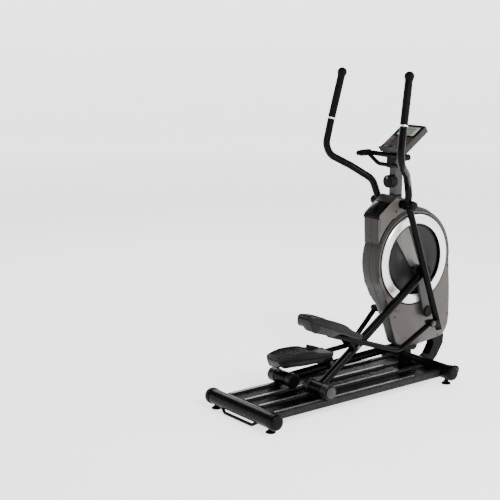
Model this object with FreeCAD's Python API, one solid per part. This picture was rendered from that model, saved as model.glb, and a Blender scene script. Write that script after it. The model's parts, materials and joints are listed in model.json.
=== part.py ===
import FreeCAD, Part
import os
from math import asin, atan2, cos, degrees, hypot, pi, radians, sin, sqrt, tan

# Elliptical trainer, front drive, in millimetres.
# +X points to the front of the machine, +Y to the user's left, +Z up.
# The origin lies on the floor, midway along the machine and on its centre plane.
# Right-hand pieces are built first with y counted outwards from the centre plane;
# place() mirrors them to the right side or turns them into the left side's pose.

# ---------------------------------------------------------------- driving dimensions
TUBE_WALL = 2.5
RUNNING = 0.06             # radial clearance of every running fit
GAP = 0.4                  # clearance between pieces that move past each other

REAR_X = -660.0            # rear stabilizer axis
FRONT_X = 536.0            # front stabilizer axis
REAR_Z = 58.0
FRONT_Z = 66.0
STABILIZER_R = 38.0
REAR_LENGTH = 540.0
FRONT_LENGTH = 520.0
END_CAP_LENGTH = 34.0
FOOT_Y_REAR = 216.0
FOOT_Y_FRONT = 205.0

RAIL_Y = (57.0, 175.0)     # inner and outer rail, from the centre plane
RAIL_WIDTH = 34.0
RAIL_BOTTOM = 39.0
RAIL_TOP = 75.0
TRACK_WIDTH = 26.0
TRACK_THICK = 3.0
TRACK_START = -610.0
TRACK_END = 330.0

ROLLER_R = 36.7
ROLLER_Z = RAIL_TOP + TRACK_THICK + ROLLER_R + GAP
ROLLER_Y = (35.0, 215.0)   # inner and outer end of the roller pair

CRANK_X = 502.0
CRANK_Z = 377.0
CRANK_R = 241.0
CRANK_ANGLE = 105.6        # right crank pin, degrees from +X towards +Z
ARM_LENGTH = 874.0         # roller axle to crank pin
ARM_Y = 116.0
ARM_R = 22.5
PIVOT_ALONG = 286.0        # pedal pivot, along the roller arm from its axle
PIVOT_ABOVE = 23.0

AXLE_X = 319.0             # swing-arm axle at the top of the housing
AXLE_Z = 965.0
SWING_SHAFT_R = 12.5
SWING_R = 618.0            # swing axle to pedal pin
PEDAL_LINK = 470.0         # pedal pivot to pedal pin
PEDAL_PIN_Y = 204.0
SWING_TOP_Y = 108.0

HOUSING_HALF = 60.0
RING_X = 421.0
RING_Z = 665.0
RING_R = (186.0, 236.0)
WALL = 4.0

MAST_X = 330.0
MAST_SIZE = (50.0, 44.0)
MAST_TOP = 1262.0

CONSOLE_FOOT = (292.0, 1246.0)   # lower edge of the console's face, x and z
CONSOLE_TILT = 34.5
CONSOLE_LENGTH = 198.0
CONSOLE_HALF = 84.0
CONSOLE_DEPTH = 32.0


V = FreeCAD.Vector
Y_AXIS = V(0, 1, 0)


# ---------------------------------------------------------------- geometry helpers
def cylinder(x, z, radius, y0, y1):
    return Part.makeCylinder(radius, y1 - y0, V(x, y0, z), Y_AXIS)


def sleeve(x, z, outer, inner, y0, y1):
    bore = cylinder(x, z, inner, y0 - 1, y1 + 1)
    return cylinder(x, z, outer, y0, y1).cut(bore)


def upright(x, y, radius, z0, z1):
    return Part.makeCylinder(radius, z1 - z0, V(x, y, z0))


def box(x0, x1, y0, y1, z0, z1):
    return Part.makeBox(x1 - x0, y1 - y0, z1 - z0, V(x0, y0, z0))


def corner_arc(before, corner, after, radius):
    """The two tangent points and the middle of the arc that rounds one corner."""
    back = (before - corner).normalize()
    ahead = (after - corner).normalize()
    half = back.getAngle(ahead) / 2
    reach = min(radius / tan(half), 0.49 * corner.distanceToPoint(before),
                0.49 * corner.distanceToPoint(after))
    rounding = reach * tan(half)
    inward = (back + ahead).normalize()
    centre = corner + inward * (rounding / sin(half))
    return corner + back * reach, centre - inward * rounding, corner + ahead * reach


def rounded_path(points, radius):
    """An open wire of straight runs joined by tangent arcs."""
    edges = []
    start = points[0]
    for before, corner, after in zip(points, points[1:], points[2:]):
        first, middle, last = corner_arc(before, corner, after, radius)
        edges.append(Part.LineSegment(start, first).toShape())
        edges.append(Part.Arc(first, middle, last).toShape())
        start = last
    edges.append(Part.LineSegment(start, points[-1]).toShape())
    return Part.Wire(edges)


def rounded_face(points, radius):
    """A closed face in the XZ plane with every corner rounded."""
    arcs = []
    for i, corner in enumerate(points):
        arcs.append(corner_arc(points[i - 1], corner, points[(i + 1) % len(points)], radius))
    edges = []
    for i, (first, middle, last) in enumerate(arcs):
        edges.append(Part.Arc(first, middle, last).toShape())
        edges.append(Part.LineSegment(last, arcs[(i + 1) % len(arcs)][0]).toShape())
    return Part.Face(Part.Wire(edges))


def sweep(points, bend, radius):
    path = rounded_path(points, bend)
    ring = Part.Wire(Part.makeCircle(radius, points[0], points[1] - points[0]))
    return path.makePipeShell([ring], True, False)


def tube(points, bend, radius, wall=TUBE_WALL):
    """A bent round tube, open inside."""
    return sweep(points, bend, radius).cut(sweep(points, bend, radius - wall))


def plate(points, radius, y0, y1):
    """A flat plate in an XZ outline between two values of y."""
    face = rounded_face([V(x, y0, z) for x, z in points], radius)
    return face.extrude(V(0, y1 - y0, 0))


def turned(profile, x, y, z, axis=Y_AXIS):
    """A solid of revolution about an axis; profile holds (distance along, radius)."""
    points = [V(r, 0, a) for a, r in profile]
    face = Part.Face(Part.makePolygon(points + points[:1]))
    solid = face.revolve(V(0, 0, 0), V(0, 0, 1), 360)
    solid.Placement = FreeCAD.Placement(V(x, y, z), FreeCAD.Rotation(V(0, 0, 1), axis))
    return solid


def mirrored(shape):
    return shape.mirror(V(0, 0, 0), Y_AXIS)


def both_sides(shape):
    return [shape, mirrored(shape)]


def group(shapes):
    return Part.makeCompound(shapes)


def polar(radius, angle):
    return radius * cos(radians(angle)), radius * sin(radians(angle))


# ---------------------------------------------------------------- the linkage at rest
def circle_crossing(first, r1, second, r2):
    """The lower crossing of two circles given by centre (x, z) and radius."""
    dx, dz = second[0] - first[0], second[1] - first[1]
    span = hypot(dx, dz)
    along = (r1 * r1 - r2 * r2 + span * span) / (2 * span)
    across = sqrt(r1 * r1 - along * along)
    return (first[0] + (along * dx + across * dz) / span,
            first[1] + (along * dz - across * dx) / span)


def linkage(crank_angle):
    """Pivots (x, z) and link angles of one side for a crank angle in degrees."""
    dx, dz = polar(CRANK_R, crank_angle)
    pin = (CRANK_X + dx, CRANK_Z + dz)
    rise = pin[1] - ROLLER_Z
    roller = (pin[0] - sqrt(ARM_LENGTH ** 2 - rise ** 2), ROLLER_Z)
    arm_angle = degrees(atan2(rise, pin[0] - roller[0]))
    ax, az = polar(PIVOT_ALONG, arm_angle)
    nx, nz = polar(PIVOT_ABOVE, arm_angle + 90)
    pivot = (roller[0] + ax + nx, roller[1] + az + nz)
    pedal_pin = circle_crossing(pivot, PEDAL_LINK, (AXLE_X, AXLE_Z), SWING_R)
    return {"pin": pin, "roller": roller, "arm": arm_angle, "pivot": pivot,
            "pedal_pin": pedal_pin, "crank": crank_angle,
            "pedal": degrees(atan2(pedal_pin[1] - pivot[1], pedal_pin[0] - pivot[0])),
            "swing": degrees(atan2(pedal_pin[0] - AXLE_X, AXLE_Z - pedal_pin[1])),
            "axle": (AXLE_X, AXLE_Z), "centre": (CRANK_X, CRANK_Z)}


RIGHT = linkage(CRANK_ANGLE)
LEFT = linkage(CRANK_ANGLE + 180.0)


def place(shape, side, point, angle):
    """Mirror a right-hand piece, or turn it into the left side's pose."""
    if side == "right":
        return mirrored(shape)
    moved = shape.copy()
    start, end = RIGHT[point], LEFT[point]
    moved.rotate(V(start[0], 0, start[1]), Y_AXIS, RIGHT[angle] - LEFT[angle])
    moved.translate(V(end[0] - start[0], 0, end[1] - start[1]))
    return moved


def at_angle(origin, angle, along, above=0.0):
    """A point (x, z) given in a frame turned by angle about origin."""
    ax, az = polar(along, angle)
    nx, nz = polar(above, angle + 90)
    return origin[0] + ax + nx, origin[1] + az + nz


def vec(point, y):
    return V(point[0], y, point[1])


# ---------------------------------------------------------------- base frame
CAP_STEP = 2.0             # how far an end cap stands proud of its tube
LIFT_BAR_R = 8.0
LIFT_BAR_Y = 145.0
LIFT_BAR_SLOPE = 36.0      # length of each end that rises to the tube
LIFT_BAR_X = 30.0          # how far behind the stabilizer's axis the bar lies
LIFT_BAR_Z = 13.0
FOOT_R = 24.0
FOOT_PAD = 12.0
STEM_R = 8.0
CROSS_X = (200.0, 510.0)
DECK_TOP = 70.0            # closing sheets between the rails
DECK_THICK = 3.0
DECK_END = 360.0           # front end of the middle sheet
WHEEL_X = FRONT_X + 26
WHEEL_Z = FRONT_Z + 14
WHEEL_R = 24.0
WHEEL_PIN_R = 4.0


def stabilizer(x, z, length):
    half = length / 2 - END_CAP_LENGTH
    return sleeve(x, z, STABILIZER_R, STABILIZER_R - TUBE_WALL, -half, half)


def end_cap(x, z, length):
    """A moulded cap with a domed end, outwards along +Y."""
    r = STABILIZER_R + CAP_STEP
    reach = END_CAP_LENGTH
    profile = [(0, 0), (0, r), (reach * 0.55, r), (reach * 0.85, r - 4), (reach, r - 11), (reach, 0)]
    return turned(profile, x, length / 2 - reach, z)


def end_caps():
    rear = end_cap(REAR_X, REAR_Z, REAR_LENGTH)
    front = end_cap(FRONT_X, FRONT_Z, FRONT_LENGTH)
    y0 = FRONT_LENGTH / 2 - 27
    well = box(FRONT_X, FRONT_X + 80, y0, y0 + 18, WHEEL_Z - WHEEL_R - 2, FRONT_Z + 50)
    front = front.cut(well).fuse(cylinder(WHEEL_X, WHEEL_Z, WHEEL_PIN_R, y0 - 4, y0 + 20))
    return group(both_sides(rear) + both_sides(front))


def levelling_foot(x, y, z_tube):
    pad = turned([(0, 0), (0, FOOT_R), (FOOT_PAD * 0.5, FOOT_R), (FOOT_PAD, FOOT_R * 0.6), (FOOT_PAD, 0)],
                 x, y, 0, V(0, 0, 1))
    stem = upright(x, y, STEM_R, FOOT_PAD, z_tube)
    return pad.fuse(stem)


def levelling_feet():
    rear = levelling_foot(REAR_X, FOOT_Y_REAR, REAR_Z - STABILIZER_R)
    front = levelling_foot(FRONT_X, FOOT_Y_FRONT, FRONT_Z - STABILIZER_R)
    return group(both_sides(rear) + both_sides(front))


def lift_handle():
    """A bowed grab bar under the rear stabilizer."""
    top = REAR_Z - STABILIZER_R * 0.6
    x = REAR_X - LIFT_BAR_X
    low = LIFT_BAR_Y - LIFT_BAR_SLOPE
    points = [V(x + 12, -LIFT_BAR_Y, top), V(x, -low, LIFT_BAR_Z),
              V(x, low, LIFT_BAR_Z), V(x + 12, LIFT_BAR_Y, top)]
    bar = sweep(points, 30, LIFT_BAR_R)
    return bar.cut(cylinder(REAR_X, REAR_Z, STABILIZER_R, -200, 200))


def rail_beam(y):
    start = REAR_X
    outer = box(start, FRONT_X, y - RAIL_WIDTH / 2, y + RAIL_WIDTH / 2, RAIL_BOTTOM, RAIL_TOP)
    long_edges = [e for e in outer.Edges if e.Length > 500]
    outer = outer.makeFillet(5, long_edges)
    inner = box(start - 1, FRONT_X + 1, y - RAIL_WIDTH / 2 + TUBE_WALL, y + RAIL_WIDTH / 2 - TUBE_WALL,
                RAIL_BOTTOM + TUBE_WALL, RAIL_TOP - TUBE_WALL)
    hollow = outer.cut(inner)
    hollow = hollow.cut(cylinder(REAR_X, REAR_Z, STABILIZER_R, y - 40, y + 40))
    return hollow.cut(cylinder(FRONT_X, FRONT_Z, STABILIZER_R, y - 40, y + 40))


def rail_beams():
    return group([half for y in RAIL_Y for half in both_sides(rail_beam(y))])


def roller_tracks():
    strips = []
    for y in RAIL_Y:
        strip = box(TRACK_START, TRACK_END, y - TRACK_WIDTH / 2, y + TRACK_WIDTH / 2,
                    RAIL_TOP, RAIL_TOP + TRACK_THICK)
        strips += both_sides(strip)
    return group(strips)


def between_rails(y0, y1, end):
    """A closing sheet between two rails, with the bars that tie those rails together."""
    filling = box(REAR_X, end, y0, y1, DECK_TOP - DECK_THICK, DECK_TOP)
    for x in CROSS_X:
        filling = filling.fuse(box(x - 25, x + 25, y0, y1, RAIL_BOTTOM + 4, RAIL_TOP - 4))
    filling = filling.cut(cylinder(REAR_X, REAR_Z, STABILIZER_R, -250, 250))
    return filling.cut(cylinder(FRONT_X, FRONT_Z, STABILIZER_R, -250, 250))


def cross_members():
    """Bars and sheets that join the rails; the middle sheet ends before the upright frame."""
    inner, outer = RAIL_Y
    middle = between_rails(-inner + RAIL_WIDTH / 2, inner - RAIL_WIDTH / 2, DECK_END)
    side = between_rails(inner + RAIL_WIDTH / 2, outer - RAIL_WIDTH / 2, FRONT_X)
    return group(middle.Solids + [solid for half in both_sides(side) for solid in half.Solids])


# ---------------------------------------------------------------- upright frame and drive
POST_X = 430.0
POST_SIZE = (50.0, 44.0)
BRACKET_R = 30.0
BRACKET_HALF = 30.0
CRANK_SHAFT_R = 10.0
CRANK_HUB_R = 20.0
BEARING_R = 24.0
BEARING_WIDTH = 12.0
FLY_SHAFT_R = 8.0
FLY_R = 160.0
FLY_Y = (-50.0, -30.0)
BELT_Y = (32.0, 46.0)
PULLEY_R = 140.0
SMALL_PULLEY_R = 26.0
BELT_THICK = 4.0
IDLER_X = 512.0
IDLER_Z = 560.0
IDLER_R = 19.0


def square_tube(points, size):
    """A welded box-section upright in the centre plane, through points (x, z)."""
    depth, width = size
    runs = []
    for a, b in zip(points, points[1:]):
        length = hypot(b[0] - a[0], b[1] - a[1])
        angle = degrees(atan2(b[1] - a[1], b[0] - a[0]))
        run = box(0, length, -width / 2, width / 2, -depth / 2, depth / 2)
        bore = box(-1, length + 1, -width / 2 + TUBE_WALL, width / 2 - TUBE_WALL,
                   -depth / 2 + TUBE_WALL, depth / 2 - TUBE_WALL)
        run = run.cut(bore)
        run.rotate(V(0, 0, 0), Y_AXIS, -angle)
        run.translate(V(a[0], 0, a[1]))
        runs.append(run)
    joined = runs[0]
    for run in runs[1:]:
        joined = joined.fuse(run)
    return joined


BOOM_Z = 229.0             # short boom from the post to the front leg
BOOM_END = 650.0
BOOM_SIZE = (30.0, 40.0)
FRAME_KNEE = (POST_X, 730.0)
FRAME_NECK = (MAST_X, 880.0)


def upright_frame():
    """Post, neck, crank bracket, flywheel bearing block and swing-axle housing."""
    frame = square_tube([(POST_X, RAIL_BOTTOM + 4), FRAME_KNEE, FRAME_NECK], POST_SIZE)
    frame = frame.fuse(square_tube([FRAME_NECK, (MAST_X, AXLE_Z + 45)], MAST_SIZE))
    lug = plate([(POST_X + 15, CRANK_Z - 45), (CRANK_X, CRANK_Z - BRACKET_R), (CRANK_X, CRANK_Z + BRACKET_R),
                 (POST_X + 15, CRANK_Z + 45)], 4, -20, 20)
    frame = frame.fuse(lug).fuse(cylinder(CRANK_X, CRANK_Z, BRACKET_R, -BRACKET_HALF, BRACKET_HALF))
    frame = frame.fuse(square_tube([(POST_X + 24, BOOM_Z), (BOOM_END, BOOM_Z)], BOOM_SIZE))
    frame = frame.fuse(cylinder(RING_X, RING_Z, 22, -26, 26))
    frame = frame.fuse(cylinder(AXLE_X, AXLE_Z, 22, -72, 72))
    frame = frame.cut(cylinder(CRANK_X, CRANK_Z, BEARING_R, -80, 80))
    frame = frame.cut(cylinder(RING_X, RING_Z, FLY_SHAFT_R, -80, 80))
    frame = frame.cut(cylinder(AXLE_X, AXLE_Z, SWING_SHAFT_R, -80, 80))
    blocks = cylinder(FRONT_X, FRONT_Z, STABILIZER_R, -260, 260)
    for x in CROSS_X:
        half = RAIL_Y[0] - RAIL_WIDTH / 2
        blocks = blocks.fuse(box(x - 25, x + 25, -half, half, RAIL_BOTTOM + 4, RAIL_TOP - 4))
    foot = box(POST_X - 60, CROSS_X[1] - 25, -30, 30, RAIL_BOTTOM + 4, RAIL_BOTTOM + 14)
    foot = foot.cut(box(POST_X - 22, POST_X + 22, -19, 19, 0, 200))
    return frame.fuse(foot).cut(blocks)


def front_leg():
    """A curved front strut from the front of the frame down to the front stabilizer."""
    half = 26.0
    outer = [(608, 214), (698, 214), (694, 158), (650, 92), (604, 50), (556, 40), (540, 84), (588, 108),
             (622, 160)]
    inner = [(618, 206), (688, 206), (684, 160), (642, 98), (604, 64), (602, 106), (632, 160)]
    leg = plate(outer, 14, -half, half)
    leg = leg.cut(plate(inner, 6, -half + 4, half - 4))
    return leg.cut(cylinder(FRONT_X, FRONT_Z, STABILIZER_R, -260, 260))


def crank_bearings():
    bore = CRANK_SHAFT_R + RUNNING
    bearing = sleeve(CRANK_X, CRANK_Z, BEARING_R, bore, BRACKET_HALF - BEARING_WIDTH, BRACKET_HALF)
    return group(both_sides(bearing))


CRANK_INNER = 70.0
CRANK_OUTER = 88.0
CRANK_HALF_WIDTH = 31.0
CRANK_NARROWING = 0.9      # width of the arm against its hub end


def crank_axle():
    half = CRANK_OUTER
    return cylinder(CRANK_X, CRANK_Z, CRANK_SHAFT_R, -half, half)


def crank_arm():
    """A long flat arm with round ends, along +X from the crank axle before turning."""
    narrow = CRANK_HALF_WIDTH * CRANK_NARROWING
    body = cylinder(0, 0, CRANK_HALF_WIDTH, CRANK_INNER, CRANK_OUTER)
    body = body.fuse(cylinder(CRANK_R, 0, narrow, CRANK_INNER, CRANK_OUTER))
    body = body.fuse(box(0, CRANK_R, CRANK_INNER, CRANK_OUTER, -narrow, narrow))
    hub = cylinder(0, 0, CRANK_HUB_R, CRANK_INNER - 6, CRANK_INNER)
    return body.fuse(hub).cut(cylinder(0, 0, CRANK_SHAFT_R, 0, 200)).removeSplitter()


def placed_crank_arm(side):
    arm = crank_arm()
    angle = CRANK_ANGLE if side == "right" else CRANK_ANGLE + 180
    arm.rotate(V(0, 0, 0), Y_AXIS, -angle)
    arm.translate(V(CRANK_X, 0, CRANK_Z))
    return mirrored(arm) if side == "right" else arm


def crank_caps():
    profile = [(0, 0), (0, CRANK_HALF_WIDTH), (5, CRANK_HALF_WIDTH), (9, CRANK_HALF_WIDTH - 6), (9, 0)]
    return group(both_sides(turned(profile, CRANK_X, CRANK_OUTER, CRANK_Z)))


def crank_pulley():
    y0, y1 = BELT_Y
    rim = sleeve(CRANK_X, CRANK_Z, PULLEY_R, PULLEY_R - 10, y0, y1)
    hub = sleeve(CRANK_X, CRANK_Z, 22, CRANK_SHAFT_R, y0, CRANK_INNER - 7)
    web = sleeve(CRANK_X, CRANK_Z, PULLEY_R - 5, 20, y0 + 4, y0 + 9)
    for i in range(6):
        dx, dz = polar(80, 60 * i)
        web = web.cut(cylinder(CRANK_X + dx, CRANK_Z + dz, 24, 0, 80))
    return rim.fuse(web).fuse(hub)


def wrap(circles, extra):
    """The convex outline of two round pulleys, as a face in the XZ plane at y = 0."""
    (x1, z1, r1), (x2, z2, r2) = circles
    lean = atan2(z2 - z1, x2 - x1)
    spread = pi / 2 + asin((r2 - r1) / hypot(x2 - x1, z2 - z1))
    points = []
    for x, z, r, turns in ((x1, z1, r1 + extra, (spread, pi, 2 * pi - spread)),
                           (x2, z2, r2 + extra, (-spread, 0, spread))):
        points.append([V(x + r * cos(lean + t), 0, z + r * sin(lean + t)) for t in turns])
    first, second = points
    edges = [Part.Arc(*first).toShape(), Part.LineSegment(first[2], second[0]).toShape(),
             Part.Arc(*second).toShape(), Part.LineSegment(second[2], first[0]).toShape()]
    return Part.Face(Part.Wire(edges))


def drive_belt():
    circles = ((CRANK_X, CRANK_Z, PULLEY_R + GAP), (RING_X, RING_Z, SMALL_PULLEY_R + GAP))
    outer = wrap(circles, BELT_THICK)
    inner = wrap(circles, 0)
    width = BELT_Y[1] - BELT_Y[0] - 2
    belt = outer.cut(inner).extrude(V(0, width, 0))
    belt.translate(V(0, BELT_Y[0] + 1, 0))
    return belt


def flywheel():
    """The heavy disc and its small belt pulley, which turn together."""
    y0, y1 = FLY_Y
    bore = FLY_SHAFT_R + RUNNING
    disc = sleeve(RING_X, RING_Z, FLY_R, FLY_R - 26, y0, y1)
    web = sleeve(RING_X, RING_Z, FLY_R - 20, bore, y0 + 6, y1 - 6)
    hub = sleeve(RING_X, RING_Z, 24, bore, y0, y1)
    pulley = sleeve(RING_X, RING_Z, SMALL_PULLEY_R, bore, *BELT_Y)
    return group([disc.fuse(web).fuse(hub), pulley])


def flywheel_axle():
    return cylinder(RING_X, RING_Z, FLY_SHAFT_R, -54, 52)


def magnet_brake():
    """A curved magnet carrier round the rear of the flywheel rim, on a pivot lug."""
    arc = sleeve(RING_X, RING_Z, FLY_R + 16, FLY_R + 4, FLY_Y[0] - 1, FLY_Y[1] + 1)
    window = plate([(RING_X, RING_Z), (RING_X - 260, RING_Z + 60), (RING_X - 260, RING_Z + 230),
                    (RING_X - 60, RING_Z + 260)], 5, -80, 0)
    carrier = arc.common(window)
    lug = box(RING_X - 90, RING_X - 74, FLY_Y[1] + 1, -22, RING_Z + 150, RING_Z + 166)
    return carrier.fuse(lug)


def idler_bracket():
    """Tensioner plate and pivot, with its spring as a separate solid."""
    y = 26.0
    plate_ = plate([(POST_X + 25, IDLER_Z + 14), (IDLER_X + 14, IDLER_Z + 14), (IDLER_X + 14, IDLER_Z - 14),
                    (POST_X + 25, IDLER_Z - 14)], 6, y - 4, y)
    stud = cylinder(IDLER_X, IDLER_Z, 5, y, BELT_Y[1])
    turns = 8
    spring = Part.makeHelix(6, turns * 6, 5)
    ring = Part.Wire(Part.makeCircle(1.2, V(5, 0, 0), V(0, 1, 0)))
    coil = Part.Wire(spring.Edges).makePipeShell([ring], True, True)
    coil.translate(V(IDLER_X - 30, y - 10.4, IDLER_Z - 15 - turns * 6))
    return group([plate_.fuse(stud), coil])


def idler_pulley():
    return sleeve(IDLER_X, IDLER_Z, IDLER_R, 5 + RUNNING, BELT_Y[0], BELT_Y[1] - 2)


# ---------------------------------------------------------------- housing
HOUSING_OUTLINE = [(160, 912), (166, 760), (155, 662), (190, 536), (262, 385), (332, 204), (435, 186),
                   (612, 196), (682, 214), (700, 300), (699, 450), (686, 640), (604, 841), (524, 908),
                   (432, 945), (240, 945)]
HOUSING_BEND = 300.0
EDGE_ROUND = 9.0
CAP_OUTLINE = [(166, 922), (243, 979), (285, 1010), (352, 988), (430, 952), (430, 945), (240, 945)]


def housing_face(offset):
    face = rounded_face([V(x, 0, z) for x, z in HOUSING_OUTLINE], HOUSING_BEND)
    return face.makeOffset2D(offset) if offset else face


def round_far_edges(solid, y, radius):
    edges = [e for e in solid.Edges if abs(e.BoundBox.YMin - y) < 0.01 and abs(e.BoundBox.YMax - y) < 0.01]
    return solid.makeFillet(radius, edges)


def housing_shell():
    """One moulded half shell, from the split line at y = 0 outwards."""
    outer = housing_face(0).extrude(V(0, HOUSING_HALF, 0))
    outer = round_far_edges(outer, HOUSING_HALF, EDGE_ROUND)
    inner = housing_face(-WALL).extrude(V(0, HOUSING_HALF - WALL + 1, 0))
    inner.translate(V(0, -1, 0))
    shell = outer.cut(inner)
    shell = shell.cut(cylinder(CRANK_X, CRANK_Z, CRANK_HUB_R + 4, 0, 100))
    shell = shell.cut(cylinder(AXLE_X, AXLE_Z, 26, -1, 100))
    shell = shell.cut(box(MAST_X - 27, MAST_X + 27, -1, 24, 900, 1000))
    shell = shell.cut(box(POST_X - 27, POST_X + 27, -1, 24, 100, 260))
    return shell.cut(box(580, 699, -1, 27, 150, 216))


def ring_trims():
    """The bright annular trims, one on each side."""
    r0, r1 = RING_R
    y = HOUSING_HALF
    profile = [(0, r0), (0, r1), (3, r1), (7, r1 - 6), (7, r0 + 12), (3, r0)]
    return group(both_sides(turned(profile, RING_X, y, RING_Z)))


def disc_covers():
    """Round inner covers with two shallow steps."""
    r = RING_R[0] - GAP
    profile = [(0, 0), (0, r), (3, r), (3, r - 12), (1.5, r - 14), (1.5, r - 20), (4.5, r - 26), (5.5, 60),
               (7, 0)]
    return group(both_sides(turned(profile, RING_X, HOUSING_HALF, RING_Z)))


WEDGE = [(-137, 118), (-52, 171), (37, -42), (-30, -33)]


def trim_wedges():
    """Tapering inserts over the upper rear of each ring."""
    y0 = HOUSING_HALF + 7
    points = [(RING_X + dx, RING_Z + dz) for dx, dz in WEDGE]
    return group(both_sides(plate(points, 6, y0, y0 + 2)))


def top_cap():
    cap = plate(CAP_OUTLINE, 7, -HOUSING_HALF, HOUSING_HALF)
    hollow = plate([(205, 946), (262, 984), (290, 1000), (350, 978), (412, 947)], 4, -HOUSING_HALF + WALL,
                   HOUSING_HALF - WALL)
    cap = cap.cut(hollow)
    cap = cap.cut(cylinder(AXLE_X, AXLE_Z, 22.5, -100, 100))
    cap = cap.cut(housing_face(0).extrude(V(0, 200, 0)).translated(V(0, -100, 0)))
    return cap.cut(box(MAST_X - 26, MAST_X + 26, -23, 23, 900, 1100))


SCREWS = [(282, 930), (180, 780), (288, 372), (356, 216), (434, 200), (616, 222), (684, 330), (672, 600),
          (524, 894)]


def housing_screws():
    screws = []
    for x, z in SCREWS:
        head = turned([(0, 0), (0, 5), (1.6, 4), (1.6, 0)], x, HOUSING_HALF, z)
        screws += both_sides(head)
    return group(screws)


# ---------------------------------------------------------------- rollers and roller arms
WHEEL_INNER = (ROLLER_Y[0] + 6, 76.0)
WHEEL_OUTER = (164.0, ROLLER_Y[1] - 6)
HOUSING_Y = (80.0, 160.0)
ROLLER_SHAFT_R = 8.0
SLEEVE_R = 31.0
SLEEVE_Y = (90.5, 136.0)
BOLT_HEAD_R = 12.0
PEDAL_PIN_R = 10.0
BOSS_Y = (90.0, 150.0)


def roller_axle():
    """The fixed shaft of one roller pair with its two end caps."""
    x, z = RIGHT["roller"]
    y0, y1 = ROLLER_Y
    shaft = cylinder(x, z, ROLLER_SHAFT_R, y0, y1)
    cap = [(0, 0), (0, ROLLER_R - 2), (3, ROLLER_R - 2), (5.5, ROLLER_R - 8), (5.5, 0)]
    outer = turned(cap, x, y1 - 5.5, z)
    inner = turned(cap, x, y0 + 5.5, z, V(0, -1, 0))
    return shaft.fuse(outer).fuse(inner)


def roller_wheel(y0, y1):
    x, z = RIGHT["roller"]
    length = y1 - y0
    r = ROLLER_R
    bore = ROLLER_SHAFT_R + RUNNING
    profile = [(0, bore), (0, r - 3), (3, r), (length - 3, r), (length, r - 3), (length, bore)]
    return turned(profile, x, y0, z)


def roller_wheels():
    return group([roller_wheel(*WHEEL_INNER), roller_wheel(*WHEEL_OUTER)])


def roller_arm():
    """Tube from the roller housing to the crank sleeve, with the pedal pivot boss."""
    foot, head = RIGHT["roller"], RIGHT["pin"]
    angle = RIGHT["arm"]
    start = vec(at_angle(foot, angle, ROLLER_R - 8), ARM_Y)
    end = vec(at_angle(head, angle, -SLEEVE_R + 6), ARM_Y)
    along = end - start
    rod = Part.makeCylinder(ARM_R, along.Length, start, along)
    rod = rod.cut(Part.makeCylinder(ARM_R - TUBE_WALL, along.Length, start, along))
    lower = cylinder(foot[0], foot[1], ROLLER_R - 2.5, *HOUSING_Y)
    upper = cylinder(head[0], head[1], SLEEVE_R, *SLEEVE_Y)
    pivot = RIGHT["pivot"]
    boss = cylinder(pivot[0], pivot[1], 17, BOSS_Y[0] + 4, BOSS_Y[1] - 2)
    arm = rod.fuse(lower).fuse(upper).fuse(boss)
    return arm.cut(cylinder(foot[0], foot[1], ROLLER_SHAFT_R + RUNNING, 0, 300))


# ---------------------------------------------------------------- pedals
PEDAL_TUBE_R = 14.0
PLATE_ANGLE = -19.9        # foot plate, right side, degrees
PLATE_REAR = (-312.0, 203.0)   # rear end of the plate from the pedal pivot, x and z
PLATE_LENGTH = 372.0
PLATE_HALF = 72.0
PLATE_Y = 118.0
PLATE_HEIGHT = 44.0
PLATE_WALL = 5.0
HEEL_LEAN = 32.0           # slope of the heel's end wall and of the underside at the toe, degrees
TOE_RISE = 8.0
EAR_THICK = 6.0
BUSH_HALF = 14.0


def pedal_point(dx, dz):
    x, z = RIGHT["pivot"]
    return x + dx, z + dz


def pedal_frame():
    """Bent tube with the pivot ears and pin under the plate and the front bush."""
    front = RIGHT["pedal_pin"]
    bend = pedal_point(239, -51)
    tail = pedal_point(-196, 98)
    points = [vec(tail, 160), vec(bend, PEDAL_PIN_Y), vec(front, PEDAL_PIN_Y)]
    frame = tube(points, 90, PEDAL_TUBE_R)
    frame = frame.cut(cylinder(front[0], front[1], 17, PEDAL_PIN_Y - 40, PEDAL_PIN_Y + 40))
    bore = PEDAL_PIN_R + RUNNING
    bush = sleeve(front[0], front[1], 18, bore, PEDAL_PIN_Y - BUSH_HALF, PEDAL_PIN_Y + BUSH_HALF)
    pivot = RIGHT["pivot"]
    ear = [(pivot[0] - 16, pivot[1] - 18), (pivot[0] + 16, pivot[1] - 14), (pivot[0] + 24, pivot[1] + 20),
           (pivot[0] - 6, pivot[1] + 46), (pivot[0] - 66, pivot[1] + 66), (pivot[0] - 60, pivot[1] + 42)]
    outer_ear = plate(ear, 8, BOSS_Y[1] + GAP, BOSS_Y[1] + EAR_THICK + 2)
    inner_ear = plate(ear, 8, BOSS_Y[0] - EAR_THICK + 3, BOSS_Y[0] + 3)
    bridge = box(0, 46, BOSS_Y[0] - EAR_THICK + 3, BOSS_Y[1] + EAR_THICK + 2, 0, 6)
    bridge.rotate(V(0, 0, 0), Y_AXIS, -PLATE_ANGLE)
    bridge.translate(V(pivot[0] - 56, 0, pivot[1] + 54))
    inner_head = cylinder(pivot[0], pivot[1], BOLT_HEAD_R, BOSS_Y[0] - 8, BOSS_Y[0])
    outer_head = cylinder(pivot[0], pivot[1], BOLT_HEAD_R, BOSS_Y[1] + 2, BOSS_Y[1] + EAR_THICK + 8)
    shoe = box(-60, 70, BOSS_Y[1] + 1, 172, -12, 6)
    shoe.rotate(V(0, 0, 0), Y_AXIS, -PLATE_ANGLE)
    shoe.translate(V(pivot[0] - 40, 0, pivot[1] + 44))
    shoe = shoe.cut(sweep(points, 90, PEDAL_TUBE_R - 1))
    result = frame.fuse(bush)
    for piece in (outer_ear, inner_ear, bridge, inner_head, outer_head, shoe):
        result = result.fuse(piece)
    return result


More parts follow.
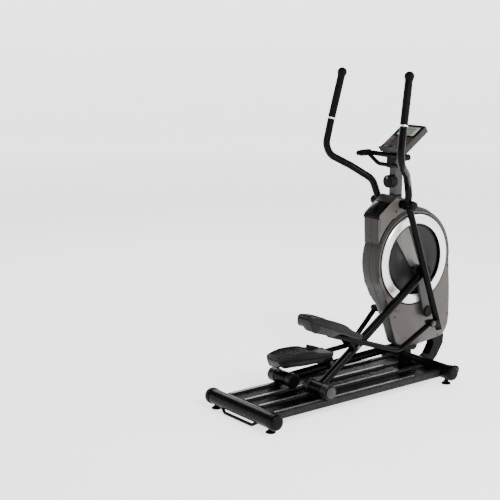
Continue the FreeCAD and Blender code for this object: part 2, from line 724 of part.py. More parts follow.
def plate_outline(margin):
    """The plate seen from above: a broad toe, a narrower rounded heel."""
    length, half = PLATE_LENGTH - 2 * margin, PLATE_HALF - margin
    heel = half * 0.82
    points = [V(margin, -heel, 0), V(margin + length * 0.35, -half, 0), V(margin + length - 30, -half, 0),
              V(margin + length, -half * 0.6, 0), V(margin + length, half * 0.6, 0),
              V(margin + length - 30, half, 0), V(margin + length * 0.35, half, 0), V(margin, heel, 0)]
    arcs = [corner_arc(points[i - 1], p, points[(i + 1) % len(points)], 24) for i, p in enumerate(points)]
    edges = []
    for i, (first, middle, last) in enumerate(arcs):
        edges.append(Part.Arc(first, middle, last).toShape())
        edges.append(Part.LineSegment(last, arcs[(i + 1) % len(arcs)][0]).toShape())
    return Part.Face(Part.Wire(edges))


def lay_on_pedal(shape):
    """Move a piece from the plate's own flat frame to its place on the right pedal."""
    x, z = pedal_point(*PLATE_REAR)
    shape.rotate(V(0, 0, 0), Y_AXIS, -PLATE_ANGLE)
    shape.translate(V(x, PLATE_Y, z))
    return shape


def foot_plate():
    """A moulded tray with a raised rim; its rim top is the local z = 0 level."""
    outer = plate_outline(0).extrude(V(0, 0, -PLATE_HEIGHT))
    tray = plate_outline(PLATE_WALL).extrude(V(0, 0, -14))
    under = plate_outline(PLATE_WALL).extrude(V(0, 0, -60))
    under.translate(V(0, 0, -20))
    body = outer.cut(tray).cut(under)
    heel = Part.makeBox(200, 400, 200, V(-200, -200, -200))
    heel.rotate(V(0, 0, 0), Y_AXIS, -HEEL_LEAN)
    heel.translate(V(0, 0, -8))
    toe = Part.makeBox(400, 400, 200, V(0, -200, -200))
    toe.rotate(V(0, 0, 0), Y_AXIS, -TOE_RISE)
    toe.translate(V(PLATE_LENGTH * 0.6, 0, -PLATE_HEIGHT))
    tail = lay_on_pedal(body.cut(heel).cut(toe))
    pivot, bend = RIGHT["pivot"], pedal_point(239, -51)
    points = [vec(pedal_point(-240, 113), 156), vec(bend, PEDAL_PIN_Y), vec(RIGHT["pedal_pin"], PEDAL_PIN_Y)]
    return tail.cut(sweep(points, 90, PEDAL_TUBE_R + GAP)).cut(pedal_clearance(pivot))


def pedal_clearance(pivot):
    """The space of the pivot ears, bridge and roller arm under the tray."""
    space = box(-80, 140, BOSS_Y[0] - 10, 176, -120, 8)
    space.rotate(V(0, 0, 0), Y_AXIS, -PLATE_ANGLE)
    space.translate(V(pivot[0] - 40, 0, pivot[1] + 54))
    return space


def foot_mat():
    """A rubber tread with cross ribs, lying in the tray."""
    base = plate_outline(PLATE_WALL + 2).extrude(V(0, 0, 4))
    base.translate(V(0, 0, -14))
    ribs = []
    for i in range(14):
        x = 34 + 23 * i
        ribs.append(box(x, x + 9, -PLATE_HALF * 0.62, PLATE_HALF * 0.62, -10.5, -7.5))
    mat = base
    for rib in ribs:
        mat = mat.fuse(rib)
    return lay_on_pedal(mat)


# ---------------------------------------------------------------- swing arms and handlebars
SWING_TUBE_R = 17.0
HANDLE_R = 16.0
GRIP_R = 18.0
SWING_END = (469.0, 310.0)
SWING_END_Y = PEDAL_PIN_Y
SLEEVE_HALF = 24.0
EAR_Y = (BUSH_HALF + 2 * GAP, BUSH_HALF + 2 * GAP + 6)   # pedal bracket, from the swing arm's own plane
PIN_HEAD = 5.0             # how far the pedal pin stands out of its bracket
HANDLE_PATH = [(312, 110, 985), (305, 120, 1020), (288, 130, 1076), (200, 204, 1146), (105, 264, 1204),
               (88, 273, 1262), (113, 264, 1391), (157, 246, 1616)]
GRIP_START = 1398.0


def pedal_bracket():
    """Two ears behind the foot of the swing arm, the web between them and the pin through both."""
    x, z = RIGHT["pedal_pin"]
    ear = [(x - 15, z - 15), (x + 50, z - 30), (x + 46, z + 12), (x - 15, z + 15)]
    inner, outer = EAR_Y
    near = plate(ear, 9, SWING_END_Y + inner, SWING_END_Y + outer)
    far = plate(ear, 9, SWING_END_Y - outer, SWING_END_Y - inner)
    web = box(x + 24, x + 44, SWING_END_Y - outer, SWING_END_Y + outer, z - 18, z + 8)
    reach = outer + PIN_HEAD
    pin = cylinder(x, z, PEDAL_PIN_R, SWING_END_Y - reach, SWING_END_Y + reach)
    return near.fuse(far).fuse(web).fuse(pin)


def swing_arm():
    """Axle sleeve, straight lower tube and the pedal bracket behind its foot."""
    y0, y1 = SWING_TOP_Y - SLEEVE_HALF, SWING_TOP_Y + SLEEVE_HALF
    hub = cylinder(AXLE_X, AXLE_Z, 25, y0, y1)
    top = V(AXLE_X, SWING_TOP_Y, AXLE_Z)
    foot = V(SWING_END[0], SWING_END_Y, SWING_END[1])
    rod = Part.makeCylinder(SWING_TUBE_R, (foot - top).Length, top, foot - top)
    start = top + (foot - top) * 0.02
    rod = rod.cut(Part.makeCylinder(SWING_TUBE_R - TUBE_WALL, (foot - top).Length - 30, start, foot - top))
    arm = hub.fuse(rod).fuse(pedal_bracket())
    return arm.cut(cylinder(AXLE_X, AXLE_Z, SWING_SHAFT_R + RUNNING, 0, 300))


def handle_points():
    return [V(x, y, z) for x, y, z in HANDLE_PATH]


def handlebar():
    bar = tube(handle_points(), 75, HANDLE_R)
    return bar.cut(cylinder(AXLE_X, AXLE_Z, 25, 0, 300)).cut(swing_arm())


def hand_grip():
    """Foam sleeve on the upper bar, and the round end cap."""
    points = handle_points()
    low, top = points[-2], points[-1]
    up = (top - low).normalize()
    start = low + up * ((GRIP_START - low.z) / up.z)
    length = (top - start).Length
    foam = Part.makeCylinder(GRIP_R, length, start, up)
    foam = foam.cut(Part.makeCylinder(HANDLE_R, length, start, up))
    ball = Part.makeSphere(22.0, top + up * 14)
    ball = ball.cut(Part.makeCylinder(60, 60, top - up * 60, up))
    return group([foam, ball])


def swing_axle():
    """The transverse axle with a retaining cap at each end."""
    hub_end = SWING_TOP_Y + SLEEVE_HALF
    shaft = cylinder(AXLE_X, AXLE_Z, SWING_SHAFT_R, -hub_end - 2, hub_end + 2)
    cap = turned([(0, 0), (0, 23), (18, 23), (22, 18), (22, 0)], AXLE_X, hub_end + 2 * GAP, AXLE_Z)
    return shaft.fuse(cap).fuse(mirrored(cap))


# ---------------------------------------------------------------- mast and console
PULSE_R = 12.5
PULSE_Z = 1216.0
PULSE_Y = 140.0
PULSE_REAR = 196.0
PULSE_FRONT = 288.0
PULSE_GRIP_R = 15.5
PULSE_GRIP_LENGTH = 66.0
KNOB_Z = 1080.0
KNOB_R = 33.0
KNOB_SHAFT_R = 4.0


def console_mast():
    lower = AXLE_Z + 45
    mast = square_tube([(MAST_X, lower), (MAST_X, MAST_TOP)], MAST_SIZE)
    head = plate([(MAST_X - 20, MAST_TOP - 70), (MAST_X + 24, MAST_TOP - 70), (MAST_X + 52, MAST_TOP + 20),
                  (MAST_X - 14, MAST_TOP - 20)], 3, -34, 34)
    mast = mast.fuse(head).cut(console_block(-CONSOLE_DEPTH, 40))
    return mast.cut(Part.makeCylinder(KNOB_SHAFT_R + RUNNING, 20, V(MAST_X - 30, 0, KNOB_Z), V(1, 0, 0)))


def resistance_knob():
    profile = [(-10, 0), (-10, KNOB_SHAFT_R), (0, KNOB_SHAFT_R), (0, 14), (10, 14), (12, KNOB_R - 3),
               (16, KNOB_R), (34, KNOB_R - 2), (40, KNOB_R - 8), (40, 0)]
    return turned(profile, MAST_X - MAST_SIZE[0] / 2 - GAP, 0, KNOB_Z, V(-1, 0, 0))


def pulse_handlebar():
    """A fixed loop: two rearward arms, a cross bar and a lower brace to the mast."""
    rear_face = MAST_X - MAST_SIZE[0] / 2
    arm = sweep([V(PULSE_REAR, PULSE_Y + 8, PULSE_Z + 2), V(PULSE_FRONT - 8, PULSE_Y, PULSE_Z),
                 V(rear_face - 14, 0, PULSE_Z - 4)], 36, PULSE_R)
    brace = sweep([V(PULSE_FRONT - 28, PULSE_Y - 12, PULSE_Z - 6), V(rear_face - 26, 78, PULSE_Z - 52),
                   V(rear_face - 12, 0, PULSE_Z - 54)], 44, PULSE_R - 2)
    half = arm.fuse(brace).common(box(0, 500, 0, 300, 900, 1500))
    clamp = box(rear_face - 22, rear_face, -22, 22, PULSE_Z - 66, PULSE_Z + 4)
    return half.fuse(mirrored(half)).fuse(clamp)


def pulse_grips():
    start = V(PULSE_REAR - 2, PULSE_Y + 8, PULSE_Z + 2)
    along = V(PULSE_FRONT - 8, PULSE_Y, PULSE_Z) - V(PULSE_REAR, PULSE_Y + 8, PULSE_Z + 2)
    along.normalize()
    grip = Part.makeCylinder(PULSE_GRIP_R, PULSE_GRIP_LENGTH, start, along)
    grip = grip.cut(Part.makeCylinder(PULSE_R, PULSE_GRIP_LENGTH, start + along * 2, along))
    return group(both_sides(grip.cut(pulse_handlebar())))


def console_place(shape):
    shape.rotate(V(0, 0, 0), Y_AXIS, -CONSOLE_TILT)
    shape.translate(V(CONSOLE_FOOT[0], 0, CONSOLE_FOOT[1]))
    return shape


def console_block(z0, z1, x0=0.0, x1=CONSOLE_LENGTH, half=CONSOLE_HALF):
    return console_place(box(x0, x1, -half, half, z0, z1))


SCREEN = (112.0, 182.0, 62.0)
BUTTON_ROWS = ((88.0, 40.0), (88.0, -40.0), (62.0, 40.0), (62.0, -40.0))
BUTTON_R = 9.0
BUTTON_TRAVEL = 1.5


def console_body():
    body = box(0, CONSOLE_LENGTH, -CONSOLE_HALF, CONSOLE_HALF, -CONSOLE_DEPTH, 0)
    body = body.makeFillet(8, [e for e in body.Edges if abs(e.tangentAt(e.FirstParameter).z) > 0.9])
    x0, x1, half = SCREEN
    body = body.cut(box(x0, x1, -half, half, -4, 1))
    for x, y in BUTTON_ROWS:
        body = body.cut(Part.makeCylinder(BUTTON_R + GAP, 8, V(x, y, -8)))
    body = body.cut(box(6, CONSOLE_LENGTH - 6, -CONSOLE_HALF + 6, CONSOLE_HALF - 6, -CONSOLE_DEPTH + 3, -12))
    ledge = box(-14, 22, -CONSOLE_HALF + 10, CONSOLE_HALF - 10, 0, 8)
    lip = box(-14, -8, -CONSOLE_HALF + 10, CONSOLE_HALF - 10, 8, 18)
    foot = box(-14, 2, -CONSOLE_HALF + 10, CONSOLE_HALF - 10, -12, 8)
    return console_place(body.fuse(ledge).fuse(lip).fuse(foot))


def console_screen():
    x0, x1, half = SCREEN
    return console_block(-4, -1, x0 + 0.2, x1 - 0.2, half - 0.2)


def console_button(x, y):
    button = Part.makeCylinder(BUTTON_R, 8, V(x, y, -5.5))
    return console_place(button)


# ---------------------------------------------------------------- transport wheels
def transport_wheel():
    y0 = FRONT_LENGTH / 2 - 25
    return sleeve(WHEEL_X, WHEEL_Z, WHEEL_R, WHEEL_PIN_R + RUNNING, y0, y0 + 14)


def write(name, shape):
    shape.exportStep("parts/" + name + ".step")


def fixed_parts():
    return {"rear_stabilizer": stabilizer(REAR_X, REAR_Z, REAR_LENGTH),
            "front_stabilizer": stabilizer(FRONT_X, FRONT_Z, FRONT_LENGTH),
            "stabilizer_end_caps": end_caps(),
            "levelling_feet": levelling_feet(),
            "lift_handle": lift_handle(),
            "rail_beams": rail_beams(),
            "roller_tracks": roller_tracks(),
            "cross_members": cross_members(),
            "upright_frame": upright_frame(),
            "front_leg": front_leg(),
            "crank_bearings": crank_bearings(),
            "drive_belt": drive_belt(),
            "flywheel_axle": flywheel_axle(),
            "magnet_brake": magnet_brake(),
            "idler_bracket": idler_bracket(),
            "housing_left": housing_shell(),
            "housing_right": mirrored(housing_shell()),
            "ring_trims": ring_trims(),
            "disc_covers": disc_covers(),
            "trim_wedges": trim_wedges(),
            "top_cap": top_cap(),
            "housing_screws": housing_screws(),
            "swing_axle": swing_axle(),
            "console_mast": console_mast(),
            "pulse_handlebar": pulse_handlebar(),
            "pulse_grips": pulse_grips(),
            "console_body": console_body(),
            "console_screen": console_screen()}


def drive_parts():
    return {"crank_axle": crank_axle(),
            "crank_arm_right": placed_crank_arm("right"),
            "crank_arm_left": placed_crank_arm("left"),
            "crank_caps": crank_caps(),
            "crank_pulley": crank_pulley(),
            "flywheel": flywheel(),
            "idler_pulley": idler_pulley(),
            "resistance_knob": resistance_knob()}


def side_parts(side):
    return {"swing_arm_" + side: place(swing_arm(), side, "axle", "swing"),
            "handlebar_" + side: place(handlebar(), side, "axle", "swing"),
            "hand_grip_" + side: place(hand_grip(), side, "axle", "swing"),
            "roller_axle_" + side: place(roller_axle(), side, "roller", "axle_angle"),
            "roller_wheels_" + side: place(roller_wheels(), side, "roller", "axle_angle"),
            "roller_arm_" + side: place(roller_arm(), side, "roller", "arm"),
            "pedal_frame_" + side: place(pedal_frame(), side, "pivot", "pedal"),
            "foot_plate_" + side: place(foot_plate(), side, "pivot", "pedal"),
            "foot_mat_" + side: place(foot_mat(), side, "pivot", "pedal"),
            "transport_wheel_" + side: place(transport_wheel(), side, "still", "axle_angle")}


for pose in (RIGHT, LEFT):
    pose["axle_angle"] = 0.0
    pose["still"] = (0.0, 0.0)

os.makedirs("parts", exist_ok=True)
parts = fixed_parts()
parts.update(drive_parts())
for side_name in ("left", "right"):
    parts.update(side_parts(side_name))
for number, (row, column) in enumerate(BUTTON_ROWS, 1):
    parts["console_button_%d" % number] = console_button(row, column)
for part_name, part_shape in parts.items():
    write(part_name, part_shape)
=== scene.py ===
import json
from math import atan2, cos, degrees, pi, radians, sin

import bmesh
import bpy
from mathutils import Matrix, Vector


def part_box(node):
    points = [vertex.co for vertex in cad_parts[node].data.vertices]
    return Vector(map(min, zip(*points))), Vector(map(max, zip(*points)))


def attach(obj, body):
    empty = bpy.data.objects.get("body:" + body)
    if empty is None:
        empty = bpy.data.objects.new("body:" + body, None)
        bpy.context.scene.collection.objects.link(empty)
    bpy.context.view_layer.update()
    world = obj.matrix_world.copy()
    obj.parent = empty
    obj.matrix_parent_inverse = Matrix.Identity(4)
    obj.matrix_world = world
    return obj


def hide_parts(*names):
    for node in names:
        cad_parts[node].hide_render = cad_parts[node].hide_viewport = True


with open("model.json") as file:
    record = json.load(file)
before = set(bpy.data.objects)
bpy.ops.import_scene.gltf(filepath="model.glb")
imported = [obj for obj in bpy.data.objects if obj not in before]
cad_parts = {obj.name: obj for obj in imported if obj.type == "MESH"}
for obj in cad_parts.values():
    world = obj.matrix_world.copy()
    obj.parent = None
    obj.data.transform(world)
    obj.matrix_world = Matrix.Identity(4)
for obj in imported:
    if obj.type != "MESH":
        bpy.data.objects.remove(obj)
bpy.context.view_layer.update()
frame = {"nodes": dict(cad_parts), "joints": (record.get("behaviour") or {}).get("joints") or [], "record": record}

NODES = frame["nodes"]


def middle(node):
    low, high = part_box(node)
    return (low + high) / 2


# ---------------------------------------------------------------- materials
FINE = 0.00006             # depth of a fine moulded or sprayed grain, metres


def node_material(name):
    """An empty node material with its shader, ready for colour and bump inputs."""
    material = bpy.data.materials.new(name)
    material.use_nodes = True
    tree = material.node_tree
    tree.nodes.clear()
    shader = tree.nodes.new("ShaderNodeBsdfPrincipled")
    output = tree.nodes.new("ShaderNodeOutputMaterial")
    tree.links.new(shader.outputs["BSDF"], output.inputs["Surface"])
    return material, tree, shader


def feed(tree, node, inputs):
    """Sets a node's inputs to values, or links them to sockets."""
    for key, value in inputs.items():
        if isinstance(value, bpy.types.NodeSocket):
            tree.links.new(value, node.inputs[key])
        else:
            node.inputs[key].default_value = value


def add(tree, kind, inputs=None, **attributes):
    """A shader node with its attributes set and its inputs fed."""
    node = tree.nodes.new("ShaderNode" + kind)
    for name, value in attributes.items():
        setattr(node, name, value)
    feed(tree, node, inputs or {})
    return node


def position(tree, scale=(1.0, 1.0, 1.0), shift=(0.0, 0.0, 0.0)):
    """Object coordinates, which are the frame's own metres, times scale and then shifted."""
    coordinates = add(tree, "TexCoord").outputs["Object"]
    return add(tree, "Mapping", {"Vector": coordinates, "Location": shift, "Scale": scale}).outputs["Vector"]


def noise(tree, scale, detail=2.0, vector=None):
    return add(tree, "TexNoise", {"Vector": vector or position(tree), "Scale": scale, "Detail": detail,
                                  "Roughness": 0.5}).outputs["Fac"]


def math(tree, operation, first, second=0.0):
    return add(tree, "Math", {0: first, 1: second}, operation=operation).outputs[0]


def between(tree, factor, low=0.0, high=1.0, from_low=0.3, from_high=0.7):
    """A number that runs from low to high while factor runs between its own two limits."""
    return add(tree, "MapRange", {"Value": factor, "From Min": from_low, "From Max": from_high,
                                  "To Min": low, "To Max": high}).outputs["Result"]


def shade(colour, factor, plus=0.0):
    """A colour made darker or lighter."""
    return tuple(min(1.0, c * factor + plus) for c in colour)


def mix_colour(tree, factor, first, second):
    node = add(tree, "Mix", data_type="RGBA")
    for key, value in (("Factor", factor), ("A", first), ("B", second)):
        socket = [s for s in node.inputs if s.name == key and (key == "Factor" or s.type == "RGBA")][0]
        if isinstance(value, bpy.types.NodeSocket):
            tree.links.new(value, socket)
        else:
            socket.default_value = value if key == "Factor" else (*value, 1.0)
    return [s for s in node.outputs if s.type == "RGBA"][0]


def bump(tree, shader, height, strength, distance, soften=0.0):
    """Fine relief, over edges that are softened by a small radius."""
    node = add(tree, "Bump", {"Height": height, "Strength": strength, "Distance": distance})
    if soften:
        rounded = add(tree, "Bevel", {"Radius": soften}, samples=4)
        tree.links.new(rounded.outputs["Normal"], node.inputs["Normal"])
    tree.links.new(node.outputs["Normal"], shader.inputs["Normal"])


def edge_wear(tree):
    """1 on convex edges and 0 elsewhere, broken up by noise."""
    pointy = add(tree, "NewGeometry").outputs["Pointiness"]
    edge = between(tree, pointy, 0.0, 1.0, 0.53, 0.60)
    patchy = between(tree, noise(tree, 90.0, 3.0), 0.0, 1.0, 0.45, 0.62)
    return math(tree, "MULTIPLY", edge, patchy)


def coated(name, colour, rough, grain=1500.0, depth=FINE, metallic=0.0, spread=0.12, specular=0.5, worn=0.0,
           flakes=0.0, soften=0.0008):
    """A painted or moulded surface: uneven tone, fine grain, slight smudges in its gloss, worn edges."""
    material, tree, shader = node_material(name)
    tone = between(tree, noise(tree, 7.0, 3.0))
    base = mix_colour(tree, tone, shade(colour, 1 - spread), shade(colour, 1 + spread, 0.0004))
    if flakes:
        speck = between(tree, noise(tree, 2600.0, 1.0), 0.0, flakes, 0.55, 0.75)
        base = mix_colour(tree, speck, base, shade(colour, 2.2, 0.05))
    if worn:
        wear = math(tree, "MULTIPLY", edge_wear(tree), worn)
        base = mix_colour(tree, wear, base, shade(colour, 2.5, 0.05))
    smudge = between(tree, noise(tree, 23.0, 4.0), rough - 0.04, rough + 0.06)
    feed(tree, shader, {"Base Color": base, "Roughness": smudge, "Metallic": metallic,
                        "Specular IOR Level": specular})
    bump(tree, shader, noise(tree, grain), 0.4, depth, soften)
    return material


def brushed_ring(name, colour, rough, centre):
    """Bright metal turned about an axis along Y through centre, with concentric scratches."""
    material, tree, shader = node_material(name)
    place = position(tree, (1.0, 0.0, 1.0), (-centre.x, 0.0, -centre.z))
    radius = add(tree, "VectorMath", {0: place}, operation="LENGTH").outputs["Value"]
    scratches = add(tree, "TexNoise", {"W": math(tree, "MULTIPLY", radius, 2200.0), "Detail": 2.0},
                    noise_dimensions="1D").outputs["Fac"]
    base = mix_colour(tree, between(tree, scratches), shade(colour, 0.90), colour)
    gloss = between(tree, scratches, rough - 0.04, rough + 0.06)
    feed(tree, shader, {"Base Color": base, "Roughness": gloss, "Metallic": 0.75})
    bump(tree, shader, scratches, 0.2, 0.00003, 0.0008)
    return material


def brushed_length(name, colour, rough, stretch):
    """Bright metal with grain drawn out along one axis."""
    material, tree, shader = node_material(name)
    grain = noise(tree, 1.0, 3.0, position(tree, stretch))
    base = mix_colour(tree, between(tree, grain), shade(colour, 0.72), colour)
    gloss = between(tree, grain, rough - 0.06, rough + 0.1)
    feed(tree, shader, {"Base Color": base, "Roughness": gloss, "Metallic": 0.85})
    bump(tree, shader, grain, 0.25, 0.00003, 0.0006)
    return material


def cell_foam(name, colour):
    """Closed-cell foam: tiny pits over a soft uneven skin."""
    material, tree, shader = node_material(name)
    cells = add(tree, "TexVoronoi", {"Vector": position(tree), "Scale": 900.0}).outputs["Distance"]
    pits = between(tree, cells, 0.0, 1.0, 0.05, 0.55)
    height = math(tree, "ADD", pits, math(tree, "MULTIPLY", noise(tree, 60.0), 1.5))
    feed(tree, shader, {"Base Color": mix_colour(tree, pits, shade(colour, 0.5), colour),
                        "Roughness": between(tree, noise(tree, 14.0, 3.0), 0.5, 0.66),
                        "Specular IOR Level": 0.06, "Sheen Weight": 0.01})
    bump(tree, shader, height, 0.5, 0.00025)
    return material


def leather_grain(name, colour, rough):
    """Moulded plastic with a leather-like pebble grain."""
    material, tree, shader = node_material(name)
    cells = add(tree, "TexVoronoi", {"Vector": position(tree), "Scale": 420.0}).outputs["Distance"]
    base = mix_colour(tree, between(tree, noise(tree, 9.0, 3.0)), shade(colour, 0.8), colour)
    base = mix_colour(tree, between(tree, cells, 0.5, 0.0, 0.1, 0.5), base, shade(colour, 1.8, 0.01))
    feed(tree, shader, {"Base Color": base, "Specular IOR Level": 0.18,
                        "Roughness": between(tree, cells, rough + 0.1, rough - 0.05, 0.1, 0.6)})
    bump(tree, shader, cells, 0.5, 0.00035, 0.0012)
    return material


def display(name):
    """A grey-green liquid-crystal panel under a clear window, paler towards its sides."""
    material, tree, shader = node_material(name)
    across = add(tree, "SeparateXYZ", {0: position(tree)}).outputs["Y"]
    pale = between(tree, math(tree, "ABSOLUTE", across), 0.0, 1.0, 0.030, 0.052)
    panel = mix_colour(tree, between(tree, noise(tree, 500.0, 1.0)), (0.17, 0.20, 0.165), (0.19, 0.22, 0.18))
    feed(tree, shader, {"Base Color": mix_colour(tree, pale, panel, (0.42, 0.45, 0.40)),
                        "Roughness": between(tree, noise(tree, 40.0, 3.0), 0.16, 0.26)})
    bump(tree, shader, noise(tree, 900.0, 1.0), 0.1, 0.00002)
    return material


def neutral(level, blue=0.0):
    """A grey of one level, a little bluer where blue is given."""
    return (level, level, level + blue)


WARM = {"grain": 1800.0, "depth": FINE / 2, "spread": 0.05}       # shared by the housing's warm greys
BLACK_PAINT = coated("black_powder_coat", neutral(0.0006, 0.0001), 0.26, specular=0.06, worn=0.03)
GREY_PAINT = coated("dark_grey_paint", neutral(0.026, 0.0005), 0.36, metallic=0.25, specular=0.2, worn=0.10,
                    flakes=0.2)
RAIL_PAINT = coated("rail_paint", neutral(0.0065, 0.0002), 0.38, metallic=0.1, specular=0.08, worn=0.15,
                    flakes=0.15)
BLACK_PLASTIC = coated("black_plastic", neutral(0.0012, 0.0001), 0.38, 1700.0, 2 * FINE, specular=0.06,
                       worn=0.03)
BLACK_GLOSS = coated("black_gloss", neutral(0.0006, 0.0001), 0.14, 300.0, FINE / 4, specular=0.10)
WARM_GREY = coated("warm_grey_plastic", (0.060, 0.053, 0.049), 0.38, metallic=0.2, specular=0.2, worn=0.15,
                   flakes=0.3, soften=0.0015, **WARM)
# painted shade: a darker copy of the warm grey for the band round the ring, where its curved face turns from the
# light
BAND_PAINTED_SHADE = coated("band_painted_shade", (0.0125, 0.0112, 0.0106), 0.34, metallic=0.2, specular=0.15, worn=0.2,
                   flakes=0.25, soften=0.0012, **WARM)
# painted shade: a darker copy of the warm grey for the shell's outer faces, which are turned away from the lamps
RIM_PAINTED_SHADE = coated("rim_painted_shade", (0.022, 0.0198, 0.0187), 0.38, metallic=0.2, specular=0.15, worn=0.2,
                  flakes=0.25, soften=0.0015, **WARM)
WEDGE_GREY = coated("wedge_grey", (0.084, 0.076, 0.071), 0.36, metallic=0.3, worn=0.15, flakes=0.25, **WARM)
CAP_PLASTIC = leather_grain("cap_plastic", neutral(0.0075, 0.0003), 0.42)
DISC_PLASTIC = coated("disc_plastic", neutral(0.0100, 0.0003), 0.36, 1400.0, specular=0.12, worn=0.06)
SILVER = brushed_ring("silver_ring", neutral(0.80), 0.30, middle("ring_trims"))
SILVER_PLAIN = coated("silver_collar", neutral(0.80), 0.22, 900.0, FINE / 4, metallic=0.9, spread=0.04)
STEEL = brushed_length("bright_steel", neutral(0.60, 0.01), 0.26, (12.0, 900.0, 900.0))
STEEL_DARK = coated("zinc_bolt", neutral(0.05, 0.002), 0.34, 900.0, metallic=0.6, worn=0.3)
FOAM = cell_foam("grip_foam", neutral(0.0012, 0.0001))
PLATE = coated("plate_plastic", neutral(0.0065, 0.0002), 0.36, 1400.0, specular=0.10, worn=0.10)
PLATE_BAND = coated("plate_band", neutral(0.0150, 0.0002), 0.36, 1400.0, specular=0.12, worn=0.15)
RUBBER = coated("tread_rubber", neutral(0.0040, 0.0001), 0.55, 1300.0, 2 * FINE, specular=0.12, worn=0.1)
ROLLER = coated("roller_plastic", neutral(0.0050, 0.0002), 0.36, 1400.0, specular=0.15, worn=0.1)
CONSOLE = coated("console_plastic", (0.020, 0.0190, 0.0182), 0.36, metallic=0.2, specular=0.14, worn=0.1,
                 flakes=0.15)
SCREEN = display("screen_window")
BUTTON = coated("button_rubber", (0.0050, 0.0046, 0.0046), 0.45, 1300.0, specular=0.15)
BUTTON_PANEL = coated("button_panel", (0.026, 0.013, 0.012), 0.3, 900.0, FINE / 2, specular=0.2)
INK = coated("panel_print", (0.018, 0.022, 0.018), 0.3, 900.0, FINE / 4)
PALE_PRINT = coated("pale_print", neutral(0.30), 0.4, 900.0, FINE / 4, specular=0.2)
IRON = brushed_ring("cast_iron", neutral(0.15, 0.005), 0.38, middle("flywheel"))

SLOT_MATERIALS = {"black_paint": BLACK_PAINT, "dark_grey_paint": GREY_PAINT, "bright_steel": STEEL,
                  "black_plastic": BLACK_PLASTIC, "roller_plastic": ROLLER, "warm_grey_plastic": WARM_GREY,
                  "silver_ring": SILVER, "disc_plastic": DISC_PLASTIC, "cap_plastic": CAP_PLASTIC,
                  "grip_foam": FOAM, "plate_plastic": PLATE, "tread_rubber": RUBBER,
                  "console_plastic": CONSOLE, "screen_glass": SCREEN, "button_rubber": BUTTON,
                  "cast_iron": IRON}
NODE_MATERIALS = {"trim_wedges": WEDGE_GREY, "rail_beams": RAIL_PAINT, "roller_tracks": RAIL_PAINT}


def dress_cad_nodes():
    """Gives every CAD node its slot's material, or one of its own."""
    for row in frame["record"]["subparts"]:
        node = NODES[row["node"]]
        node.data.materials.clear()
        node.data.materials.append(NODE_MATERIALS.get(row["node"], SLOT_MATERIALS[row["material_slot"]]))


# ---------------------------------------------------------------- mesh building
STEPS = 64


def piece(name, made, material, body, replaces=(), sharp=34.0):
    """Turns a bmesh into a smooth-shaded piece that rides a body."""
    bmesh.ops.remove_doubles(made, verts=made.verts, dist=1e-6)
    bmesh.ops.recalc_face_normals(made, faces=made.faces)
    mesh = bpy.data.meshes.new(name)
    made.to_mesh(mesh)
    made.free()
    mesh.shade_smooth()
    mesh.set_sharp_from_angle(angle=radians(sharp))
    made_object = bpy.data.objects.new(name, mesh)
    bpy.context.scene.collection.objects.link(made_object)
    mesh.materials.append(material)
    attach(made_object, body)
    if replaces:
        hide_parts(*replaces)
    return made_object


def on_axis(point, axis, hint=(0, 0, 1)):
    """A matrix that carries +Z onto axis and the origin onto point; +X leans towards hint."""
    z = Vector(axis).normalized()
    x = Vector(hint) - z * Vector(hint).dot(z)
    if x.length < 1e-6:
        x = Vector((1, 0, 0)) - z * z.x
    x.normalize()
    y = z.cross(x)
    matrix = Matrix((x, y, z)).transposed().to_4x4()
    matrix.translation = Vector(point)
    return matrix


def skin(made, rings, closed_ends=True, loop=False):
    """Joins rings of vertices of equal length into a surface."""
    count = len(rings[0])
    pairs = list(zip(rings, rings[1:])) + ([(rings[-1], rings[0])] if loop else [])
    for low, high in pairs:
        for i in range(count):
            j = (i + 1) % count
            made.faces.new((low[i], low[j], high[j], high[i]))
    if closed_ends and not loop:
        made.faces.new(list(reversed(rings[0])))
        made.faces.new(rings[-1])


def lathe(made, matrix, profile, steps=STEPS, wobble=None, closed_ends=True, loop=False):
    """Turns a profile of (along, radius) about the matrix's Z axis."""
    rings = []
    for along, radius in profile:
        ring = []
        for i in range(steps):
            a = 2 * pi * i / steps
            r = max(radius, 1e-5) * (wobble(a) if wobble else 1.0)
            ring.append(made.verts.new(matrix @ Vector((r * cos(a), r * sin(a), along))))
        rings.append(ring)
    skin(made, rings, closed_ends, loop)


def hollow_lathe(made, matrix, profile, steps=STEPS):
    """Turns a closed profile of (along, radius) about Z, as a ring."""
    lathe(made, matrix, profile, steps, loop=True)


def turned(name, matrix, profile, material, body, replaces=(), steps=STEPS, hollow=False):
    """A piece that is one turned profile."""
    made = bmesh.new()
    lathe(made, matrix, profile, steps, loop=hollow)
    return piece(name, made, material, body, replaces)


def slab(made, matrix, outline, low, high, bevel=0.0, segments=3):
    """A flat-sided prism of an outline in the matrix's XY plane, with its edges rounded."""
    bottom = [made.verts.new(matrix @ Vector((x, y, low))) for x, y in outline]
    top = [made.verts.new(matrix @ Vector((x, y, high))) for x, y in outline]
    faces = [made.faces.new(top), made.faces.new(list(reversed(bottom)))]
    for i in range(len(outline)):
        j = (i + 1) % len(outline)
        faces.append(made.faces.new((bottom[i], bottom[j], top[j], top[i])))
    if bevel:
        rims = list(faces[0].edges) + list(faces[1].edges)
        bmesh.ops.bevel(made, geom=rims, offset=bevel, segments=segments, profile=0.6, affect="EDGES")


def slab_piece(name, matrix, outline, levels, bevel, material, body, replaces=(), segments=3):
    """A piece that is one flat-sided prism."""
    made = bmesh.new()
    slab(made, matrix, outline, *levels, bevel, segments)
    return piece(name, made, material, body, replaces)


def rounded_rectangle(width, height, radius, steps=6):
    """The outline of a rectangle about the origin, with round corners."""
    points = []
    for sx, sy, start in ((1, 1, 0), (-1, 1, 90), (-1, -1, 180), (1, -1, 270)):
        cx, cy = sx * (width / 2 - radius), sy * (height / 2 - radius)
        for i in range(steps + 1):
            a = radians(start + 90 * i / steps)
            points.append((cx + radius * cos(a), cy + radius * sin(a)))
    return points


